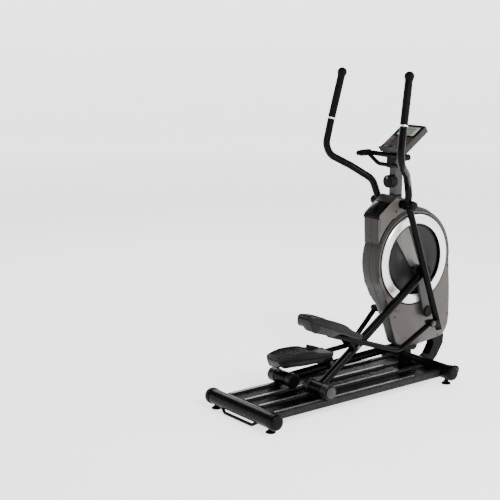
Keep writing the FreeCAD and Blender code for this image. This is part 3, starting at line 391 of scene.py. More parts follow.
def hex_bolt(made, point, axis, across=0.013, height=0.006, washer=True):
    """A hexagon head with a turned washer under it, standing out along axis."""
    matrix = on_axis(point, axis)
    base = 0.0
    if washer:
        rim = across * 0.78
        lathe(made, matrix, [(-0.0005, rim), (0.0012, rim), (0.0016, rim - 0.0005)], 32)
        base = 0.0014
    half = across / 2 / cos(pi / 6)
    lathe(made, matrix, [(base, half), (base + height * 0.82, half), (base + height, half * 0.86)], 6)


def weld(made, centre, big_radius, towards, small_radius, bead=0.0026):
    """A rippled weld bead where a tube meets a cylinder that lies along Y."""
    d = Vector(towards).normalized()
    y = Vector((0, 1, 0))
    n = d.cross(y).normalized()
    count, sides = 96, 8
    points = []
    for i in range(count):
        a = 2 * pi * i / count
        side, across = small_radius * cos(a), small_radius * sin(a)
        out = (max(big_radius ** 2 - across ** 2, 0.0)) ** 0.5
        points.append(Vector(centre) + y * side + n * across + d * out)
    rings = []
    for i, p in enumerate(points):
        ahead = (points[(i + 1) % count] - points[i - 1]).normalized()
        u = (p - Vector(centre)).normalized()
        u = (u - ahead * u.dot(ahead)).normalized()
        v = ahead.cross(u)
        r = bead * (1.0 + 0.16 * sin(i * 2 * pi * 24 / count))
        rings.append([made.verts.new(p + (u * cos(2 * pi * k / sides) + v * sin(2 * pi * k / sides)) * r)
                      for k in range(sides)])
    skin(made, rings, loop=True)


# ---------------------------------------------------------------- places taken from the frame
def joint(name):
    return [j for j in frame["joints"] if j["name"] == name][0]


def pivot(name):
    return Vector(joint(name)["pos_m"])


SIDES = {"right": -1, "left": 1}
XZ_PLANE = Matrix(((1, 0, 0, 0), (0, 0, 1, 0), (0, 1, 0, 0), (0, 0, 0, 1)))      # (x, z, y) to the frame


# ---------------------------------------------------------------- housing
RING = pivot("flywheel_spin")
HOUSING_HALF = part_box("housing_left")[1].y
OUTER_RING_R = (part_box("ring_trims")[1].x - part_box("ring_trims")[0].x) / 2
GROOVE_R = (OUTER_RING_R + 0.0003, OUTER_RING_R + 0.0082)
DRUM_R = 0.267             # rounded drum behind the ring
BAND_R = 0.2730            # outer edge of the raised band round the ring
BAND_INNER_R = 0.2512      # the band's lighter inner edge ends here; outside it the band is painted darker as shade
SEAM_R = 0.2768            # outer edge of the dark seam round the band
BAND_ANGLES = (-10.0, 196.0)
EDGE = 0.011               # radius of the shell's outer edge
FINE_GROOVES = (0.2640, 0.2530)        # radii of the two fine grooves turned in the band
LEDGE = 0.0064             # depth of the step that the bright ring sits in
TURNS = 360                # points round the shell
SHADED_RIM_ROWS = 5               # rows of faces, from the parting plane out, in the darker rim grey that paints the shade on the shell's outer faces
RECESS = 0.0065            # depth of the disc under the side of the housing
CREASE_SLOPE = 0.26        # fall of the side panel below a crease line, per metre
CREASE_DEPTH = 0.026
CREASES = (((0.329, 0.435), (0.483, 0.235)), ((0.483, 0.235), (0.655, 0.262)))


def arc(centre, radii, first, last, steps):
    """Points of an arc whose radius runs evenly from one value to another; angles in degrees."""
    points = []
    for i in range(steps + 1):
        t = i / steps
        a = radians(first + (last - first) * t)
        r = radii[0] + (radii[1] - radii[0]) * t
        points.append(Vector((centre[0] + r * cos(a), centre[1] + r * sin(a))))
    return points


def corner(before, at, after, reach, steps=6):
    """A smooth corner that leaves its two sides at a distance of reach."""
    p = Vector(at)
    a = p + (Vector(before) - p).normalized() * reach
    b = p + (Vector(after) - p).normalized() * reach
    return [a * (1 - t) ** 2 + p * 2 * t * (1 - t) + b * t ** 2
            for t in [k / steps for k in range(steps + 1)]]


def housing_outline():
    """The side outline: flat upper rear block, round drum, tapering foot, straight front."""
    centre = (RING.x, RING.z)
    points = [Vector((0.160, 0.898)), Vector((0.1605, 0.850)), Vector((0.164, 0.774))]
    points += arc(centre, (DRUM_R + 0.002, DRUM_R - 0.002), 157.5, 212, 22)
    points += corner((0.197, 0.520), (0.262, 0.385), (0.332, 0.204), 0.05)
    points += corner((0.262, 0.385), (0.330, 0.206), (0.435, 0.186), 0.022)
    points += corner((0.332, 0.204), (0.440, 0.186), (0.612, 0.196), 0.03)
    points += corner((0.440, 0.186), (0.676, 0.208), (0.700, 0.300), 0.035)
    points += corner((0.676, 0.208), (0.699, 0.300), (0.699, 0.450), 0.03)
    points += corner((0.700, 0.300), (0.699, 0.450), (0.688, 0.620), 0.05)
    points += arc(centre, (DRUM_R, DRUM_R - 0.003), -8, 58, 26)
    points += arc(centre, (DRUM_R - 0.003, 0.278), 62, 90, 8)
    points += corner((0.43, 0.943), (0.214, 0.943), (0.162, 0.908), 0.012)
    return points + [Vector((0.1615, 0.908))]


def reach_of(outline, angle):
    """Distance from the ring's centre to the outline in one direction."""
    centre, d = Vector((RING.x, RING.z)), Vector((cos(angle), sin(angle)))
    best = 0.0
    for p, q in zip(outline, outline[1:] + outline[:1]):
        a, e = p - centre, q - p
        cross = d.x * e.y - d.y * e.x
        if abs(cross) > 1e-12:
            t = (a.x * e.y - a.y * e.x) / cross
            s = (a.x * d.y - a.y * d.x) / cross
            if t > 0 and -1e-6 <= s <= 1 + 1e-6:
                best = max(best, t)
    return best


def smooth(value, low, high):
    t = max(0.0, min(1.0, (value - low) / (high - low)))
    return t * t * (3 - 2 * t)


def under(x, z, line):
    """Distance of a point below a crease line, or 0 above it."""
    (x0, z0), (x1, z1) = line
    side = ((x - x0) * (z1 - z0) - (z - z0) * (x1 - x0)) / ((x1 - x0) ** 2 + (z1 - z0) ** 2) ** 0.5
    return max(0.0, side)


def panel_y(x, z):
    """Height of the side panel over the centre plane at a point of the side."""
    r = ((x - RING.x) ** 2 + (z - RING.z) ** 2) ** 0.5
    step = 0.0050 * smooth(r, BAND_R - 0.0003, BAND_R + 0.0006) * smooth(z, 0.56, 0.68)
    falls = max(CREASE_SLOPE * under(x, z, line) for line in CREASES) * smooth(r, SEAM_R, SEAM_R + 0.02)
    return HOUSING_HALF - step - min(falls, CREASE_DEPTH)


def in_band(x, z):
    """Whether a point lies in the part of the drum that has the raised band."""
    angle = degrees(atan2(z - RING.z, x - RING.x))
    return (angle - BAND_ANGLES[0]) % 360 < BAND_ANGLES[1] - BAND_ANGLES[0]


def band_fade(angle):
    """1 along the raised band and 0 away from it; its grooves end softly."""
    past = (degrees(angle) - BAND_ANGLES[0]) % 360 - (BAND_ANGLES[1] - BAND_ANGLES[0])
    return 1.0 - smooth(past, 0.0, 8.0) * (1.0 - smooth(past, 146.0, 154.0))


def housing_rings(reaches):
    """Rings of (radius, height, whether it follows the side panel), from the parting plane inwards."""
    rings = [[(reach - inset, y, follows) for reach in reaches]
             for y, inset, follows in ((0.0006, 0.0014, False), (0.0020, 0.0, False),
                                       (HOUSING_HALF - EDGE - 0.001, 0.0, True))]
    for k in range(1, 6):
        bend = pi / 2 * k / 5
        y = HOUSING_HALF - EDGE * (1 - sin(bend))
        rings.append([(reach - EDGE * (1 - cos(bend)), y, True) for reach in reaches])
    for k in range(1, 17):
        t = k / 16
        rings.append([(SEAM_R + (reach - EDGE - SEAM_R) * (1 - t) if reach - EDGE > SEAM_R else reach - EDGE,
                       HOUSING_HALF, True) for reach in reaches])
    band = [(SEAM_R - 0.0004, 0.0040), (BAND_R + 0.0004, 0.0040), (BAND_R, 0.0)]
    for r in FINE_GROOVES:
        band += [(r, 0.0), (r - 0.0004, 0.0007), (r - 0.0012, 0.0007), (r - 0.0016, 0.0)]
    for r, drop in band + [(GROOVE_R[1] + 0.0012, 0.0)]:
        rings.append([(min(r, reach - EDGE), HOUSING_HALF - drop, True) for reach in reaches])
    for r, drop in ((GROOVE_R[1] + 0.0003, 0.0004), (GROOVE_R[1], 0.0012), (GROOVE_R[1] - 0.0006, LEDGE),
                    (GROOVE_R[0] - 0.03, LEDGE)):
        rings.append([(r, HOUSING_HALF - drop, False) for _ in reaches])
    return rings


def housing(side):
    """One half shell with its drum band, recess, creases and rounded edges."""
    outline = housing_outline()
    angles = [2 * pi * i / TURNS for i in range(TURNS)]
    made = bmesh.new()
    rows = []
    for ring in housing_rings([reach_of(outline, a) for a in angles]):
        row = []
        for a, (r, y, follows) in zip(angles, ring):
            x, z = RING.x + r * cos(a), RING.z + r * sin(a)
            if r < SEAM_R and follows:
                y = HOUSING_HALF - (HOUSING_HALF - y) * band_fade(a)
            if follows:
                y += panel_y(x, z) - HOUSING_HALF
            row.append(made.verts.new((x, SIDES[side] * y, z)))
        rows.append(row)
    skin(made, rows, closed_ends=False)
    shell = piece("housing_shell_" + side, made, WARM_GREY, "base",
                  ("housing_" + side,), sharp=24.0)
    colour_housing(shell.data)


def colour_housing(mesh):
    """Gives the seam and groove their black, and the shell's rim and the band's inner part darker greys that paint
    the shade on faces turned from the light.
    """
    for material in (BLACK_PLASTIC, BAND_PAINTED_SHADE, RIM_PAINTED_SHADE):
        mesh.materials.append(material)
    for face in mesh.polygons:
        x, y, z = face.center
        r = ((x - RING.x) ** 2 + (z - RING.z) ** 2) ** 0.5
        seam = BAND_R + 0.0001 < r < SEAM_R - 0.0001 and in_band(x, z) and abs(y) > HOUSING_HALF - 0.0105
        # the first rows, round the shell's outer faces, get the darker grey as painted shade
        if face.index < SHADED_RIM_ROWS * TURNS:
            face.material_index = 3
        elif r < GROOVE_R[1] - 0.0001 or seam:
            face.material_index = 1
        # the band between BAND_INNER_R and BAND_R gets the darker grey as painted shade
        elif BAND_INNER_R < r < BAND_R + 0.0001 and in_band(x, z) and abs(y) > HOUSING_HALF - EDGE:
            face.material_index = 2


def facing(side, point, y):
    """A matrix at a point's x and z, y out from the centre plane, that faces out on one side."""
    sign = SIDES[side]
    return on_axis((point.x, sign * y, point.z), (0, sign, 0))


def disc(side):
    """The sunk inner disc with a dark wall round it, turned steps and a centre boss."""
    inner = OUTER_RING_R - 0.050
    matrix = facing(side, RING, HOUSING_HALF - RECESS)
    turned("disc_wall_" + side, matrix,
           [(-0.0010, inner - 0.0150), (-0.0004, inner - 0.0150), (0.0, inner - 0.0120),
            (0.0, inner - 0.0008), (0.0132, inner - 0.0004), (0.0132, inner + 0.0015),
            (-0.0010, inner + 0.0015)],
           BLACK_GLOSS, "base", steps=160, hollow=True)
    turned("disc_face_" + side, matrix,
           [(-0.0008, inner - 0.0128), (0.0012, inner - 0.0132), (0.0026, inner - 0.0150),
            (0.0030, inner - 0.0200), (0.0030, 0.100), (0.0026, 0.0990), (0.0022, 0.0975), (0.0022, 0.0600),
            (0.0030, 0.0580), (0.0046, 0.0400), (0.0052, 0.0250), (0.0052, 0.0)],
           DISC_PLASTIC, "base", ("disc_covers",) if side == "right" else (), 160)


def wedge(side):
    """The pale insert that crosses the disc, round-ended along the ring."""
    sign = SIDES[side]
    r = OUTER_RING_R - 0.0512
    outline = arc((RING.x, RING.z), (r, r), 139.5, 107.0, 10)
    outline += corner((0.372, 0.834), (0.458, 0.621), (0.391, 0.630), 0.006, 4)
    outline += corner((0.458, 0.621), (0.391, 0.630), (0.284, 0.783), 0.006, 4)
    levels = (sign * (HOUSING_HALF - RECESS + 0.001), sign * (HOUSING_HALF + 0.0030))
    slab_piece("wedge_insert_" + side, XZ_PLANE, outline, levels, 0.0012, WEDGE_GREY, "base",
               ("trim_wedges",) if side == "right" else ())


def block_groove_shade(side):
    """A black strip, standing just proud of the upper block's side, that paints the shade of its short upright
    groove.
    """
    sign = SIDES[side]
    matrix = on_axis((0.1725, sign * (HOUSING_HALF - 0.0051), 0.868), (0, sign, 0), (0, 0, 1))
    # painted shade: the groove's dark inside is a black strip rather than a cut
    slab_piece("block_groove_shade_" + side, matrix, rounded_rectangle(0.078, 0.0022, 0.0010), (-0.001, 0.0006),
               0.0003, BLACK_PLASTIC, "base")


LIP = ((0.1602, 0.8995), (0.1590, 0.9080), (0.1625, 0.9190), (0.1700, 0.9268), (0.1790, 0.9240),
       (0.1790, 0.8995))
CAP_SIDE = ((0.1625, 0.905), (0.1655, 0.921), (0.243, 0.976), (0.284, 1.005), (0.352, 0.983), (0.429, 0.948),
            (0.44, 0.925), (0.40, 0.90), (0.20, 0.89))
CAP_TOP = ((0.243, 0.979), (0.285, 1.010), (0.352, 0.988), (0.430, 0.952))
GLOSS_PANEL = ((0.1700, 0.9250), (0.2415, 0.9765))       # lower and upper end of the slanted panel


def across_to(along):
    """The upward normal of a direction in the machine's centre plane."""
    return Vector((-along.z, 0, along.x))


def cap():
    """Grey block over the housing, its textured lid and the glossy slanted panel."""
    across = HOUSING_HALF - 0.0025
    slab_piece("cap_block", XZ_PLANE, CAP_SIDE, (-across, across), 0.006, WARM_GREY, "base",
               ("top_cap",), 4)
    path = [Vector((x, 0, z)) for x, z in CAP_TOP]
    outer, inner = [], []
    for i, p in enumerate(path):
        up = across_to((path[min(i + 1, len(path) - 1)] - path[max(i - 1, 0)]).normalized())
        outer.append(p + up * 0.001)
        inner.append(p - up * 0.006)
    loop = [(v.x, v.z) for v in outer + inner[::-1]]
    slab_piece("cap_lid", XZ_PLANE, loop, (-across - 0.0008, across + 0.0008), 0.0035, CAP_PLASTIC, "base")
    low, high = [Vector((x, 0, z)) for x, z in GLOSS_PANEL]
    along = (high - low).normalized()
    panel = rounded_rectangle((high - low).length, 2 * across - 0.003, 0.004)
    slab_piece("cap_gloss_panel", on_axis((low + high) / 2, across_to(along), along), panel, (-0.004, 0.0016),
               0.001, BLACK_GLOSS, "base")


def rear_lip():
    """The dark rounded lip between the gloss panel and the rear of the housing."""
    half = HOUSING_HALF - 0.0038
    slab_piece("rear_lip", XZ_PLANE, LIP, (-half, half), 0.004, BLACK_PLASTIC, "base", (), 4)


# ---------------------------------------------------------------- linkage details
CRANK = pivot("crank_spin")
CRANK_R = 0.241
CRANK_ANGLES = {"right": radians(105.6), "left": radians(285.6)}
SLEEVE_R, ROLLER_BOSS_R, ARM_TUBE_R = 0.031, 0.0342, 0.0225
ARM_Y = 0.116              # centre of a roller arm and its sleeve
SLEEVE_END_Y = 0.136       # outer end of the crank-pin sleeve
PIN_EAR_Y = 0.204          # centre of the swing arm's lower end, which holds the pedal pin
HUB_Y = 0.108              # centre of a swing hub
AXLE_END_Y = HUB_Y + 0.024 + 0.0228
SEAL_YS = (0.0405, 0.2095)     # the two ends of a roller pair
PEDAL_EAR_YS = (0.082 - 0.0005, 0.150 + 0.0145)        # outer faces of a pedal's two pivot ears


def crank_pin(side):
    a = CRANK_ANGLES[side]
    return CRANK + Vector((CRANK_R * cos(a), 0, CRANK_R * sin(a)))


def shifted(point, y):
    return Vector((point.x, y, point.z))


def arm_details(side):
    """Weld beads at both ends of one roller arm, and the cap of its sleeve."""
    y = SIDES[side] * ARM_Y
    foot, head = pivot(side + "_arm"), crank_pin(side)
    along = (head - foot).normalized()
    made = bmesh.new()
    weld(made, shifted(foot, y), ROLLER_BOSS_R, along, ARM_TUBE_R)
    weld(made, shifted(head, y), SLEEVE_R, -along, ARM_TUBE_R)
    piece("arm_welds_" + side, made, BLACK_PAINT, "arm_" + side)
    turned("sleeve_cap_" + side, facing(side, head, SLEEVE_END_Y),
           [(-0.004, 0.0285), (0.0, 0.0285), (0.0022, 0.0265), (0.0032, 0.022), (0.0028, 0.0205),
            (0.0028, 0.0195), (0.0040, 0.018), (0.0046, 0.010), (0.0048, 0.0)],
           BLACK_PLASTIC, "arm_" + side)


def outer_y(node):
    """How far a node reaches out from the centre plane."""
    return max(abs(point.y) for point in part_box(node))


def roller_details(side):
    """Turned grooves on the roller pair's end cap, and the seals at both ends of the pair."""
    centre = pivot(side + "_arm")
    turned("roller_cap_face_" + side, facing(side, centre, outer_y("roller_axle_" + side)),
           [(-0.002, 0.0285), (0.0004, 0.0285), (0.0012, 0.0275), (0.0015, 0.0255), (0.0007, 0.0245),
            (0.0007, 0.0235), (0.0014, 0.0225), (0.0019, 0.010), (0.0020, 0.0)],
           GREY_PAINT, "carriage_" + side)
    made = bmesh.new()
    for y in SEAL_YS:
        hollow_lathe(made, facing(side, centre, y),
                     [(-0.0015, 0.012), (-0.0015, 0.0335), (0.0015, 0.0335), (0.0015, 0.012)])
    piece("roller_seals_" + side, made, BLACK_GLOSS, "carriage_" + side)


def swing_details(side):
    """Nuts on the pedal pin at the foot of one swing arm, and the face of the axle cap."""
    sign = SIDES[side]
    foot = pivot(side + "_pedal")
    made = bmesh.new()
    outer_nut = shifted(foot, sign * (outer_y("swing_arm_" + side) - 0.0045))
    inner_nut = shifted(foot, sign * (PIN_EAR_Y - 0.0305))
    hex_bolt(made, outer_nut, (0, sign, 0), 0.019, 0.0065)
    hex_bolt(made, inner_nut, (0, -sign, 0), 0.019, 0.0065, washer=False)
    piece("pedal_pin_nuts_" + side, made, STEEL_DARK, "swing_" + side)
    turned("axle_cap_face_" + side, facing(side, pivot(side + "_swing"), AXLE_END_Y),
           [(-0.003, 0.0175), (0.0, 0.0175), (0.0016, 0.016), (0.0020, 0.012), (0.0012, 0.0112),
            (0.0012, 0.0104), (0.0024, 0.0098), (0.003, 0.0)],
           BLACK_GLOSS, "base")


def grip_axis(side):
    """Lower end and direction of the straight foam grip."""
    points = [v.co for v in NODES["hand_grip_" + side].data.vertices]
    lowest = min(p.z for p in points)
    highest = max(p.z for p in points)

    def mean(low, high):
        chosen = [p for p in points if low <= p.z <= high]
        return sum(chosen, Vector()) / len(chosen)

    start = mean(lowest - 1e-4, lowest + 0.012)
    return start, (mean(highest - 0.05, highest - 0.028) - start).normalized()


GRIP_R = 0.0192            # foam grip
BALL_R = 0.0245            # its ball end
TUBE_SWELL = 0.0027        # the visible handlebar stands this much over its CAD tube


def handlebar(side):
    """The bent handlebar, thicker than its CAD tube up to the foam grip."""
    start, up = grip_axis(side)
    made = bmesh.new()
    made.from_mesh(NODES["handlebar_" + side].data)
    bmesh.ops.remove_doubles(made, verts=made.verts, dist=1e-6)
    made.normal_update()
    for vertex, normal in [(v, v.normal.copy()) for v in made.verts]:
        if (vertex.co - start).dot(up) < 0.0:
            vertex.co += normal * TUBE_SWELL
    piece("handlebar_tube_" + side, made, BLACK_PAINT, "swing_" + side, ("handlebar_" + side,))


def grip(side):
    """Foam sleeve with a moulded ring at its lower end, its ball end and the silver collar."""
    start, up = grip_axis(side)
    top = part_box("hand_grip_" + side)[1].z - BALL_R
    ball = start + up * ((top - start.z) / up.z)
    length = (ball - start).length
    profile = [(0.000, GRIP_R - 0.003), (0.001, GRIP_R - 0.0008), (0.004, GRIP_R + 0.0006),
               (0.009, GRIP_R + 0.0006), (0.011, GRIP_R - 0.0004), (0.013, GRIP_R)]
    for t in [k / 14 for k in range(15)]:
        profile.append((0.02 + (length - 0.05) * t, GRIP_R + 0.0004 * sin(pi * t)))
    profile += [(length - 0.026, GRIP_R), (length - 0.020, GRIP_R + 0.0004),
                (length - 0.014, GRIP_R + 0.0012)]
    for a in [radians(-35 + 125 * k / 10) for k in range(11)]:
        profile.append((length + BALL_R * sin(a), max(BALL_R * cos(a), 0.0)))
    sleeve = turned("foam_grip_" + side, on_axis(start, up), profile, FOAM, "swing_" + side,
                    ("hand_grip_" + side,), 48)
    turned("silver_collar_" + side, on_axis(start - up * 0.0085, up),
           [(0.0, 0.0158), (0.0, 0.0190), (0.0008, 0.0198), (0.0076, 0.0198), (0.0084, 0.0190),
            (0.0084, 0.0158)],
           SILVER_PLAIN, "swing_" + side, hollow=True)


# ---------------------------------------------------------------- console
FACE = middle("console_screen")
TILT = joint("button_1_press")["axis"]          # the way a button is pushed in
FACE_OUT = -Vector(TILT).normalized()
FACE_UP = Vector((FACE_OUT.z, 0, -FACE_OUT.x)) * (-1 if FACE_OUT.z < 0 else 1)
SCREEN_TO_FOOT = 0.147     # from the middle of the display to the lower edge of the face


def face_frame(up, across, proud=0.0):
    """A matrix on the console's face: X up the face, Y across it and Z out of it."""
    start = Vector((FACE.x, 0, FACE.z)) + FACE_OUT * 0.0025 - FACE_UP * SCREEN_TO_FOOT
    point = start + FACE_UP * up + Vector((0, across, 0)) + FACE_OUT * proud
    return on_axis(point, FACE_OUT, FACE_UP)


def face_slabs(name, material, places, size, levels, corner_r, soften):
    """Equal rounded panels on the face, at places of up, across and, where it isn't flush, proud."""
    made = bmesh.new()
    for place in places:
        slab(made, face_frame(*place), rounded_rectangle(*size, corner_r), *levels, soften)
    piece(name, made, material, "base")


def frame_ring(made, matrix, outer, inner, radius, low, high):
    """A picture-frame shape between two rounded rectangles, with softened edges."""
    outside = rounded_rectangle(*outer, radius)
    inside = rounded_rectangle(*inner, radius * 0.6)
    rings = []
    for loop, grown, level in ((outside, 1.0, low), (outside, 1.0, high - 0.0008), (outside, 0.992, high),
                               (inside, 1.008, high), (inside, 1.0, high - 0.0008), (inside, 1.0, low)):
        rings.append([made.verts.new(matrix @ Vector((x * grown, y * grown, level))) for x, y in loop])
    skin(made, rings, loop=True)


def console():
    """Black bezel, display with generic bars, button panel, buttons, book ledge and rear vents."""
    made = bmesh.new()
    frame_ring(made, face_frame(0.147, 0), (0.094, 0.156), (0.071, 0.125), 0.012, -0.001, 0.0022)
    piece("console_bezel", made, BLACK_GLOSS, "base")
    face_slabs("button_field", BUTTON_PANEL, [(0.070, 0)], (0.054, 0.140),
               (-0.0008, 0.0008), 0.010, 0.0004)
    made = bmesh.new()
    for row in range(3):
        for column in range(5):
            width = 0.010 if (row + column) % 2 else 0.013
            slab(made, face_frame(0.131 + 0.016 * row, -0.036 + 0.018 * column),
                 rounded_rectangle(0.0055, width, 0.0008), -0.0009, -0.0002)
    piece("display_bars", made, INK, "base")
    for k in range(1, 5):
        console_button(str(k))
    face_slabs("console_soft_keys", BUTTON, [(0.070, -0.012), (0.070, 0.012)],
               (0.030, 0.010), (0.0004, 0.0018), 0.003, 0.0005)
    face_slabs("ledge_clips", STEEL_DARK, [(0.006, -0.030, 0.0105), (0.006, 0.030, 0.0105)],
               (0.010, 0.030), (-0.002, 0.0025), 0.003, 0.001)
    face_slabs("book_ledge", BLACK_PLASTIC, [(0.004, 0)], (0.034, 0.150),
               (-0.011, 0.0086), 0.004, 0.003)
    face_slabs("rear_vents", BLACK_PLASTIC,
               [(0.060 + 0.016 * k, 0, -0.0318) for k in range(6)], (0.006, 0.060),
               (-0.0012, 0.0004), 0.002, 0.0003)


def console_button(number):
    """A push button with a dished top, and the rim round it."""
    centre = middle("console_button_" + number)
    turned("button_cap_" + number, on_axis(centre, FACE_OUT),
           [(-0.003, 0.0088), (0.0036, 0.0088), (0.0046, 0.0080), (0.0049, 0.0066), (0.0044, 0.0050),
            (0.0042, 0.0)],
           BUTTON, "button_" + number, ("console_button_" + number,), 40)
    turned("button_rim_" + number, on_axis(centre - FACE_OUT * 0.001, FACE_OUT),
           [(0.0, 0.0096), (0.0022, 0.0096), (0.0028, 0.0102), (0.0024, 0.0114), (0.0, 0.0118)],
           BLACK_GLOSS, "base", steps=40, hollow=True)


# ---------------------------------------------------------------- knob, pulse bar and mast
KNOB_FLUTES = 24


def knob():
    """Fluted dial with a pointer line and a raised middle."""
    low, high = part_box("resistance_knob")
    centre = middle("resistance_knob")
    radius = (high.z - low.z) / 2
    out = Vector((-1, 0, 0))
    face = abs(low.x - centre.x)
    matrix = on_axis(centre, out)
    made = bmesh.new()
    lathe(made, matrix, [(-face, radius * 0.80), (-face + 0.002, radius), (face - 0.006, radius)], 240,
          lambda a: 1.0 - 0.035 * (0.5 + 0.5 * cos(KNOB_FLUTES * a)) ** 2)
    lathe(made, matrix, [(face - 0.0065, radius * 0.93), (face - 0.003, radius * 0.90),
                         (face - 0.0012, radius * 0.80), (face - 0.0022, radius * 0.72),
                         (face - 0.0022, radius * 0.50), (face, radius * 0.44), (face, 0.0)], 96)
    piece("fluted_knob", made, BLACK_PLASTIC, "knob", ("resistance_knob",))
    slab_piece("knob_pointer", on_axis(centre + out * face + Vector((0, 0, radius * 0.62)), out, (0, 0, 1)),
               rounded_rectangle(radius * 0.42, 0.0026, 0.001), (-0.0035, 0.0002), 0.0, PALE_PRINT, "knob")


def pulse_foam():
    """A ribbed foam sleeve on each pulse grip."""
    for side, sign in SIDES.items():
        points = [v.co for v in NODES["pulse_grips"].data.vertices if v.co.y * sign > 0]
        centre = sum(points, Vector()) / len(points)
        span = max(p.x for p in points) - min(p.x for p in points)
        half = span / 2
        radius = (max(p.z for p in points) - min(p.z for p in points)) / 2
        profile = [(-half, radius * 0.84), (-half + 0.002, radius), (-half + 0.005, radius)]
        for t in [k / 12 for k in range(1, 12)]:
            swell = 1.0 + 0.05 * sin(pi * t) + 0.02 * cos(8 * pi * t)
            profile.append((-half + 0.005 + (span - 0.010) * t, radius * swell))
        profile += [(half - 0.005, radius), (half - 0.002, radius), (half, radius * 0.84)]
        foam = turned("pulse_foam_" + side, on_axis(centre, (1, 0, 0)), profile, FOAM, "base",
                      ("pulse_grips",) if side == "right" else (), 48)


def hub_rings():
    """Gloss rings at both ends of each swing hub."""
    for side, sign in SIDES.items():
        centre = shifted(pivot(side + "_swing"), sign * HUB_Y)
        made = bmesh.new()
        for end in (-1, 1):
            hollow_lathe(made, on_axis(centre + Vector((0, end * 0.0225, 0)), (0, end, 0)),
                         [(-0.0015, 0.0246), (-0.0015, 0.0262), (0.0008, 0.0266), (0.0018, 0.0255),
                          (0.0018, 0.0150), (0.0004, 0.0150), (0.0004, 0.0240)])
        piece("hub_rings_" + side, made, BLACK_GLOSS, "swing_" + side)


# ---------------------------------------------------------------- foot plates
PLATE_LENGTH, PLATE_HALF = 0.372, 0.072


def plate_frame(side):
    """Where a foot plate lies: origin at the heel's rim, X towards the toe, Z up."""
    points = [v.co for v in NODES["foot_mat_" + side].data.vertices]
    rear_x, front_x = min(p.x for p in points), max(p.x for p in points)
    rear = [p for p in points if p.x < rear_x + 0.02]
    front = [p for p in points if p.x > front_x - 0.02]
    a = sum(rear, Vector()) / len(rear)
    b = sum(front, Vector()) / len(front)
    along = Vector((b.x - a.x, 0, b.z - a.z)).normalized()
    up = across_to(along)
    plate = [v.co for v in NODES["foot_plate_" + side].data.vertices]
    origin = along * min(p.dot(along) for p in plate) + up * max(p.dot(up) for p in plate)
    origin.y = middle("foot_mat_" + side).y
    matrix = Matrix((along, up.cross(along), up)).transposed().to_4x4()
    matrix.translation = origin
    return matrix


RIM = ((0.0, -0.004), (0.12, 0.0065), (0.26, 0.0110), (0.39, 0.0106), (0.50, 0.0090), (0.60, 0.0036),
       (0.68, -0.0060), (0.76, -0.0125), (0.86, -0.0160), (1.0, -0.0230))
OUTER_SKIRT = ((0.0, 0.022), (0.03, 0.045), (0.08, 0.072), (0.15, 0.076), (0.40, 0.076), (0.46, 0.064),
               (0.52, 0.052), (0.60, 0.044), (0.73, 0.034), (0.86, 0.028), (1.0, 0.020))
INNER_SKIRT = ((0.0, 0.022), (0.03, 0.042), (0.08, 0.058), (0.15, 0.063), (0.45, 0.068), (0.60, 0.062),
               (0.72, 0.050), (0.78, 0.034), (0.86, 0.028), (1.0, 0.020))
SHEET = -0.022             # underside of the plate's sheet, below its flat line
SOLID_ENDS = (0.085, 0.97)  # the heel is solid up to the first, the toe from the second


def along_table(table, t):
    """A value of a table at t, on a smooth curve through its points."""
    t = max(0.0, min(1.0, t))
    k = max(i for i, (at, _) in enumerate(table[:-1]) if at <= t)
    slopes = []
    for i in (k, k + 1):
        low, high = table[max(i - 1, 0)], table[min(i + 1, len(table) - 1)]
        slopes.append((high[1] - low[1]) / (high[0] - low[0]))
    (t0, v0), (t1, v1) = table[k], table[k + 1]
    span = t1 - t0
    u = (t - t0) / span
    return (v0 * (1 + 2 * u) * (1 - u) ** 2 + slopes[0] * span * u * (1 - u) ** 2
            + v1 * u * u * (3 - 2 * u) + slopes[1] * span * u * u * (u - 1))


def rim_height(t):
    """The rim's rise over the plate's own flat line, from heel (0) to toe (1): a long arch."""
    return along_table(RIM, t)


def half_width(t):
    """Half the plate's width, from heel (0) to toe (1)."""
    heel = 0.80 + 0.20 * smooth(t, 0.0, 0.35)
    ends = (1.0 - max(0.0, 1.0 - t / 0.06) ** 2 * 0.14) * (1.0 - max(0.0, (t - 0.86) / 0.14) ** 2.4 * 0.45)
    return PLATE_HALF * heel * ends


def groove_under(t, deep):
    """How far the side groove lies under the rim; it runs straight while the rim arches."""
    return min(rim_height(t) + 0.022 + 0.018 * t, deep - 0.011)


def half_section(t, skirt):
    """A cross-section from the middle of the tray over the rim, down the skirt and back under the sheet."""
    w = half_width(t)
    rim = rim_height(t)
    deep = along_table(skirt, t)
    groove = rim - groove_under(t, deep)
    heel, toe = SOLID_ENDS
    hollow = smooth(t, heel, heel + 0.015) * (1 - smooth(t, toe - 0.015, toe))
    foot = rim - deep
    sheet = foot + 0.002 + (SHEET - foot - 0.002) * hollow
    return [(0.0, rim - 0.012), (w * 0.5, rim - 0.012), (w - 0.012, rim - 0.012),
            (w - 0.0075, rim - 0.0105), (w - 0.0055, rim - 0.005), (w - 0.0045, rim - 0.0012),
            (w - 0.0025, rim), (w - 0.0008, rim - 0.0006),
            (w, rim - 0.0028), (w, groove + 0.003), (w - 0.0006, groove + 0.0008), (w - 0.0034, groove),
            (w - 0.0036, groove - 0.0026), (w - 0.0012, groove - 0.0034), (w - 0.0010, groove - 0.006),
            (w - 0.0022, foot + 0.003), (w - 0.0035, foot), (w - 0.0062, foot + 0.0005), (w - 0.0072, sheet),
            (w * 0.5, sheet), (0.0, sheet)]


